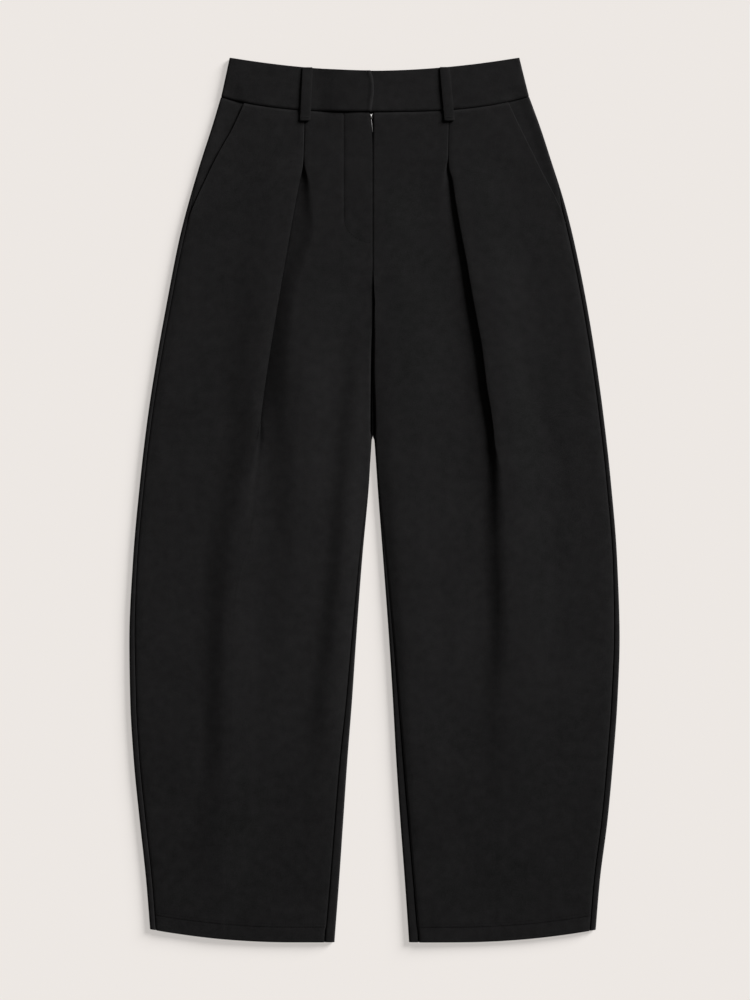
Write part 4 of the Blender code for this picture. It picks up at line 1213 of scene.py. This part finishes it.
# Waistband: three contoured pieces of interlined suiting, one round the back and two in front.
# They are sewn to the legs at the waist seam, and the wearer's right end laps over the left.
BAND_WALL = 0.0020
BAND_RADIUS = 0.0028
BAND_SEAM_GAP = 0.0005
BAND_SEAM_STEP = 0.0002
BAND_DIP = 0.0154
BAND_DIP_POWER = 1.85
BAND_TOP_HALF = 0.1697
BAND_OVERLAP = 0.0023
BAND_OVERLAP_START = 0.070
BAND_OVERLAP_RAMP = 0.032
BAND_FLAT_START = 0.172
BAND_SLANT_START = 0.13
BAND_SLANT_WIDTH = 0.04
UNDERLAP = 0.035
BAND_SEAM_DIP = 0.0009
BAND_SEAM_DIP_WIDTH = 0.0022
BAND_LOFT = 0.0005
# How far the front pieces fall towards the hip: height, start and width across, and the same
# down the band
BAND_FALL = 0.0014
BAND_FALL_START = 0.150
BAND_FALL_WIDTH = 0.018
BAND_FALL_DEPTH = 0.4
BAND_FALL_REACH = 0.6
BAND_LIP = 0.0005
BAND_LIP_WIDTH = 0.0050
# How far the loose end of the right piece lies from the centre: depth in the band, distance
BAND_END = ((0.0, 0.0050), (0.25, 0.0016), (0.50, 0.0010), (0.75, 0.0025), (1.0, 0.0042))
band_end = column(BAND_END, 1)
BAND_DEPTHS = [0.0, 0.012, 0.035, 0.07] + spread(0.07, 0.93, 14) + [0.955, 0.98, 1.0]
BAND_HEIGHT = 0.045
BACK_BAND_END = 1.010


def band_drop(out, depth):
    """Drop of a place on the waistband. The depth is 0 at its top edge and 1 at its seam."""
    top = BAND_DIP * (1.0 - (abs(out) / BAND_TOP_HALF) ** BAND_DIP_POWER)
    reach = min(abs(out), WAIST_RISE_LIMIT) / WAIST_RISE_HALF
    bottom = WAIST_SEAM - GAP - WAIST_RISE * reach ** 3
    return mix(top, bottom, depth)


def band_edge(leg, depth, along):
    """Point of the waistband's rolled side edge, positive distances on the front."""
    arc = BAND_RADIUS - BAND_WALL / 2.0
    angle = max(-math.pi / 2.0, min(along / arc, math.pi / 2.0))
    edge = mix(BAND_TOP_HALF, leg.band_side, depth)
    return edge - BAND_RADIUS + arc * math.cos(angle), BAND_RADIUS + arc * math.sin(angle)


def band_turn():
    """Distances round the waistband's side edge, from its side seam to its flat face."""
    start = BAND_SEAM_GAP / 2.0
    quarter = (BAND_RADIUS - BAND_WALL / 2.0) * math.pi / 2.0
    return [start, start + BAND_SEAM_STEP] + spread(start + BAND_SEAM_STEP, quarter, 5)


def band_row(leg, depth, sections):
    """World points of one row of the waistband, drawn down a little at the waist seam."""
    dip = BAND_SEAM_DIP * (1.0 - smooth((1.0 - depth) * BAND_HEIGHT / BAND_SEAM_DIP_WIDTH))
    points = []
    for out, height in sections:
        x = leg.sign * out
        y = LENGTH / 2.0 - band_drop(out, depth)
        high = smooth((height - 0.003) / 0.001)
        points.append((x, y, height + ripple(x, y, height) - dip * high))
    return points


def band_front_section(leg, depth, laps_over):
    """The front of the waistband, from its side edge past the centre."""
    points = [band_edge(leg, depth, along) for along in band_turn()]
    flat = 2.0 * BAND_RADIUS - BAND_WALL / 2.0 + BAND_LOFT
    end = band_end(depth) if laps_over else -UNDERLAP
    outs = spread(BAND_FLAT_START, BAND_OVERLAP_START, 18)
    outs += spread(BAND_OVERLAP_START, BAND_OVERLAP_START - BAND_OVERLAP_RAMP, 9)
    outs += spread(outs[-1], end + 0.008, 7)
    outs += [end + inset for inset in (0.0062, 0.0046, 0.0032, 0.0020, 0.0011, 0.0004, 0.0)]
    slant = mix(BAND_TOP_HALF, leg.band_side, depth) - leg.band_side
    low = smooth((depth - BAND_FALL_DEPTH) / BAND_FALL_REACH)
    for out in outs:
        shift = slant * smooth((out - BAND_SLANT_START) / BAND_SLANT_WIDTH)
        height = flat - BAND_FALL * smooth((out - BAND_FALL_START) / BAND_FALL_WIDTH) * low
        if laps_over:
            height += BAND_OVERLAP * smooth((BAND_OVERLAP_START - out) / BAND_OVERLAP_RAMP)
            lip = (out - end) / BAND_LIP_WIDTH
            if lip < 1.0:
                height += BAND_LIP * (math.sin(math.pi * lip) - 1.4 * (1.0 - lip) ** 4)
        points.append((out + shift, height))
    return points


for leg in LEGS:
    laps_over = leg is right
    rows = [band_row(leg, depth, band_front_section(leg, depth, laps_over))
            for depth in BAND_DEPTHS]
    name = "waistband_front_" + leg.name
    piece, cut = lay_cloth(name + "_cloth", rows, BAND_WALL, suiting, anchor=20)
    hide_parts(name)

rows = []
for depth in BAND_DEPTHS[:-1] + [BACK_BAND_END]:
    halves = []
    for leg in (right, left):
        points = [band_edge(leg, depth, -along) for along in band_turn()]
        for out in spread(points[-1][0], 0.0, 30)[:-1]:
            height = BAND_WALL / 2.0 + back_lift(band_drop(out, depth), out)
            points.append((out, height))
        halves.append(band_row(leg, depth, points))
    rows.append(halves[0] + halves[1][::-1])
piece, cut = lay_cloth("waistband_back_cloth", rows, BAND_WALL, suiting, anchor=36)
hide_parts("waistband_back")


# Belt loops: folded strips of suiting. The front two arch over the waistband, fixed at its top
# edge and tacked below its seam with their ends folded under. The back two are pressed flat.
LOOP_WALL = 0.0016
LOOP_END_WALL = 0.0022
LOOP_FOLD = 0.0050
LOOP_FOLD_RAMP = 0.0015
LOOP_ROUNDING = 0.00035
LOOP_ARCH = ((0.0, 0.0066), (0.12, 0.0070), (0.40, 0.0074), (0.70, 0.0073), (0.90, 0.0069),
             (1.0, 0.0067))
# Each front loop: drop and distance out of its top, then of its end
LOOP_RIGHT = (0.0117, 0.0783, 0.0743, 0.0811)
LOOP_LEFT = (0.0114, 0.0820, 0.0743, 0.0877)
FRONT_LOOP_WIDTH = 0.0117
BACK_LOOP_WALL = 0.0009
BACK_LOOP_TOP = 0.0058
BACK_LOOP_END = 0.0680
LOOP_COLUMNS = (-1.0, -0.97, -0.88, -0.6, -0.2, 0.2, 0.6, 0.88, 0.97, 1.0)
loop_arch = column(LOOP_ARCH, 1)
loops = []
for leg, (top_drop, top_out, end_drop, end_out) in ((right, LOOP_RIGHT), (left, LOOP_LEFT)):
    rows = []
    walls = []
    length = end_drop - top_drop
    ends = [0.0, 0.006, 0.02, 0.05] + spread(0.05, 0.90, 15) + [0.925, 0.95, 0.97, 0.985, 0.994, 1.0]
    for t in ends:
        middle = leg.sign * mix(top_out, end_out, t)
        y = LENGTH / 2.0 - mix(top_drop, end_drop, t)
        folded = smooth((length * t - (length - LOOP_FOLD)) / LOOP_FOLD_RAMP)
        height = loop_arch(t) + folded * (LOOP_END_WALL - LOOP_WALL) / 2.0
        walls.append(mix(LOOP_WALL, LOOP_END_WALL, folded))
        corner = 0.0006 * smooth((t - 0.98) / 0.02) + 0.0004 * smooth((0.02 - t) / 0.02)
        rows.append([
            (middle + side * (FRONT_LOOP_WIDTH / 2.0 - corner), y,
             height - LOOP_ROUNDING * abs(side) ** 4)
            for side in LOOP_COLUMNS
        ])
    name = "belt_loop_front_" + leg.name
    piece, cut = lay_cloth(name + "_cloth", rows, LOOP_END_WALL, suiting, anchor=5, walls=walls)
    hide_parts(name)
    loops.append(piece)
for leg in LEGS:
    rows = []
    for drop in levels_down(BACK_LOOP_TOP, (BACK_LOOP_TOP + 0.002, 0.0007),
                            (BACK_LOOP_END - 0.002, 0.005), (BACK_LOOP_END, 0.0007)):
        rows.append([
            (leg.sign * BACK_LOOP_OUT + side * LOOP_WIDTH / 2.0, LENGTH / 2.0 - drop,
             BACK_LOOP_WALL / 2.0)
            for side in LOOP_COLUMNS
        ])
    name = "belt_loop_back_" + leg.name
    piece, cut = lay_cloth(name + "_cloth", rows, BACK_LOOP_WALL, suiting, anchor=5)
    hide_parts(name)


# Stitching: black thread, sewn in rows of short stitches that sink a little into the cloth. One
# row holds the fly's facing in a long J, two hold each hem, the upper one in finer thread, and
# short ones tack the front belt loops down.
THREAD = 0.0006
FLATNESS = 0.4
STITCH_LENGTH = 0.0024
STITCH_PITCH = 0.0030
STITCH_SUNK = 0.00002
ABOVE = 0.05
THREAD_COLOUR = (0.0014, 0.0013, 0.0014)


def make_thread(name, colour):
    """Twisted sewing thread: fine slanting twists and a slight shine."""
    thread, shader, nodes, link = new_material(name, {"Specular IOR Level": 0.02})
    place = nodes.new("ShaderNodeTexCoord")
    twist = nodes.new("ShaderNodeTexWave")
    twist.bands_direction = "DIAGONAL"
    set_inputs(twist, {"Scale": 900.0, "Distortion": 0.6})
    colours = nodes.new("ShaderNodeMix")
    colours.data_type = "RGBA"
    for socket, share in ((6, 0.6), (7, 1.3)):
        set_inputs(colours, {socket: (*(part * share for part in colour), 1.0)})
    shine = set_inputs(nodes.new("ShaderNodeMapRange"), {"To Min": 0.62, "To Max": 0.78})
    bump = set_inputs(nodes.new("ShaderNodeBump"), {"Distance": 0.00004})
    link(place.outputs["Object"], twist.inputs["Vector"])
    link(twist.outputs["Fac"], colours.inputs[0])
    link(twist.outputs["Fac"], shine.inputs["Value"])
    link(twist.outputs["Fac"], bump.inputs["Height"])
    link(colours.outputs[2], shader.inputs["Base Color"])
    link(shine.outputs["Result"], shader.inputs["Roughness"])
    link(bump.outputs["Normal"], shader.inputs["Normal"])
    return thread


black_thread = make_thread("black thread", THREAD_COLOUR)


def surface_of(piece):
    """The finished surface of a piece, for laying things on it."""
    return BVHTree.FromObject(piece, bpy.context.evaluated_depsgraph_get())


def evenly(route, pitch):
    """Places one pitch apart along a route of points, each with the next one."""
    points = [Vector(point) for point in route]
    marks = []
    carried = 0.0
    for start, end in zip(points, points[1:]):
        length = (end - start).length
        at = carried
        while at < length:
            marks.append((start.lerp(end, at / length), (end - start) / length))
            at += pitch
        carried = at - length
    return marks


def sew(shape, surface, route, pitch=STITCH_PITCH, length=STITCH_LENGTH, thread=THREAD):
    """A row of stitches along a route, given in X and Y, on a surface found from above."""
    for place, direction in evenly([(x, y, 0.0) for x, y in route], pitch):
        ends = []
        for reach in (-0.5, 0.0, 0.5):
            spot = place + direction * length * reach
            hit, normal = surface.ray_cast(Vector((spot.x, spot.y, ABOVE)), Vector((0, 0, -1)))[:2]
            if hit is None:
                break
            ends.append((hit, normal))
        if len(ends) < 3 or abs(ends[0][0].z - ends[2][0].z) > length:
            continue
        along = (ends[2][0] - ends[0][0]).normalized()
        up = ends[1][1]
        across = up.cross(along).normalized()
        up = along.cross(across)
        turn = Matrix((along, across, up)).transposed().to_4x4()
        middle = ends[1][0] - up * STITCH_SUNK
        size = Matrix.Diagonal((length / 2.0, thread / 2.0, FLATNESS * thread / 2.0, 1.0))
        bmesh.ops.create_uvsphere(shape, u_segments=6, v_segments=5, radius=1.0,
                                  matrix=Matrix.Translation(middle) @ turn @ size)


J_STITCH_START = 0.0015
J_STITCH_EDGE = 0.0025
surfaces = {name: surface_of(piece) for name, piece in fronts.items()}
shape = bmesh.new()
route = [(-J_OUT, LENGTH / 2.0 - drop) for drop in levels_down(WAIST_SEAM + J_STITCH_START, (J_BEND, 0.004))]
for turned in spread(0.0, math.pi / 2.0, 12):
    route.append((-max(J_OUT * math.cos(turned), J_STITCH_EDGE),
                  LENGTH / 2.0 - J_BEND - (J_END - J_BEND) * math.sin(turned)))
sew(shape, surfaces["right"], route)
fly_stitches = add_piece("fly_stitches", shape, black_thread)

HEM_ROW_GAP = 0.0038
FINE_THREAD = 0.6 * THREAD
HEM_ROW_END = 0.004
HEM_PITCH = 0.0032
HEM_STITCH_LENGTH = 0.0027
shape = bmesh.new()
for leg in LEGS:
    for level, thread in ((LENGTH - HEM_STITCH, THREAD),
                          (LENGTH - HEM_STITCH - HEM_ROW_GAP, FINE_THREAD)):
        start = leg.inner(level) + HEM_ROW_END
        end = leg.side(settled(level, leg.side)) - HEM_ROW_END
        outs = [start] + spread(start, end, 60)
        route = [(leg.sign * out, LENGTH / 2.0 - bent_drop(level, out)) for out in outs]
        sew(shape, surfaces[leg.name], route, HEM_PITCH, HEM_STITCH_LENGTH, thread)
hem_stitches = add_piece("hem_stitches", shape, black_thread)

TACK_ROWS = 3
TACK_PITCH = 0.0007
TACK_LENGTH = 0.0011
TACK_THREAD = 0.0003
TACK_ROW_GAP = 0.0005
TACK_FROM_END = 0.0032
TACK_INSET = 0.0012
shape = bmesh.new()
for piece, leg, (top_drop, top_out, end_drop, end_out) in zip(loops, LEGS, (LOOP_RIGHT, LOOP_LEFT)):
    surface = surface_of(piece)
    for row in range(TACK_ROWS):
        drop = end_drop - TACK_FROM_END - row * TACK_ROW_GAP
        middle = leg.sign * mix(top_out, end_out, 0.95)
        y = LENGTH / 2.0 - drop
        half = FRONT_LOOP_WIDTH / 2.0 - TACK_INSET
        route = [(middle - half, y), (middle + half, y)]
        sew(shape, surface, route, TACK_PITCH, TACK_LENGTH, TACK_THREAD)
tacks = add_piece("loop_tacks", shape, black_thread)
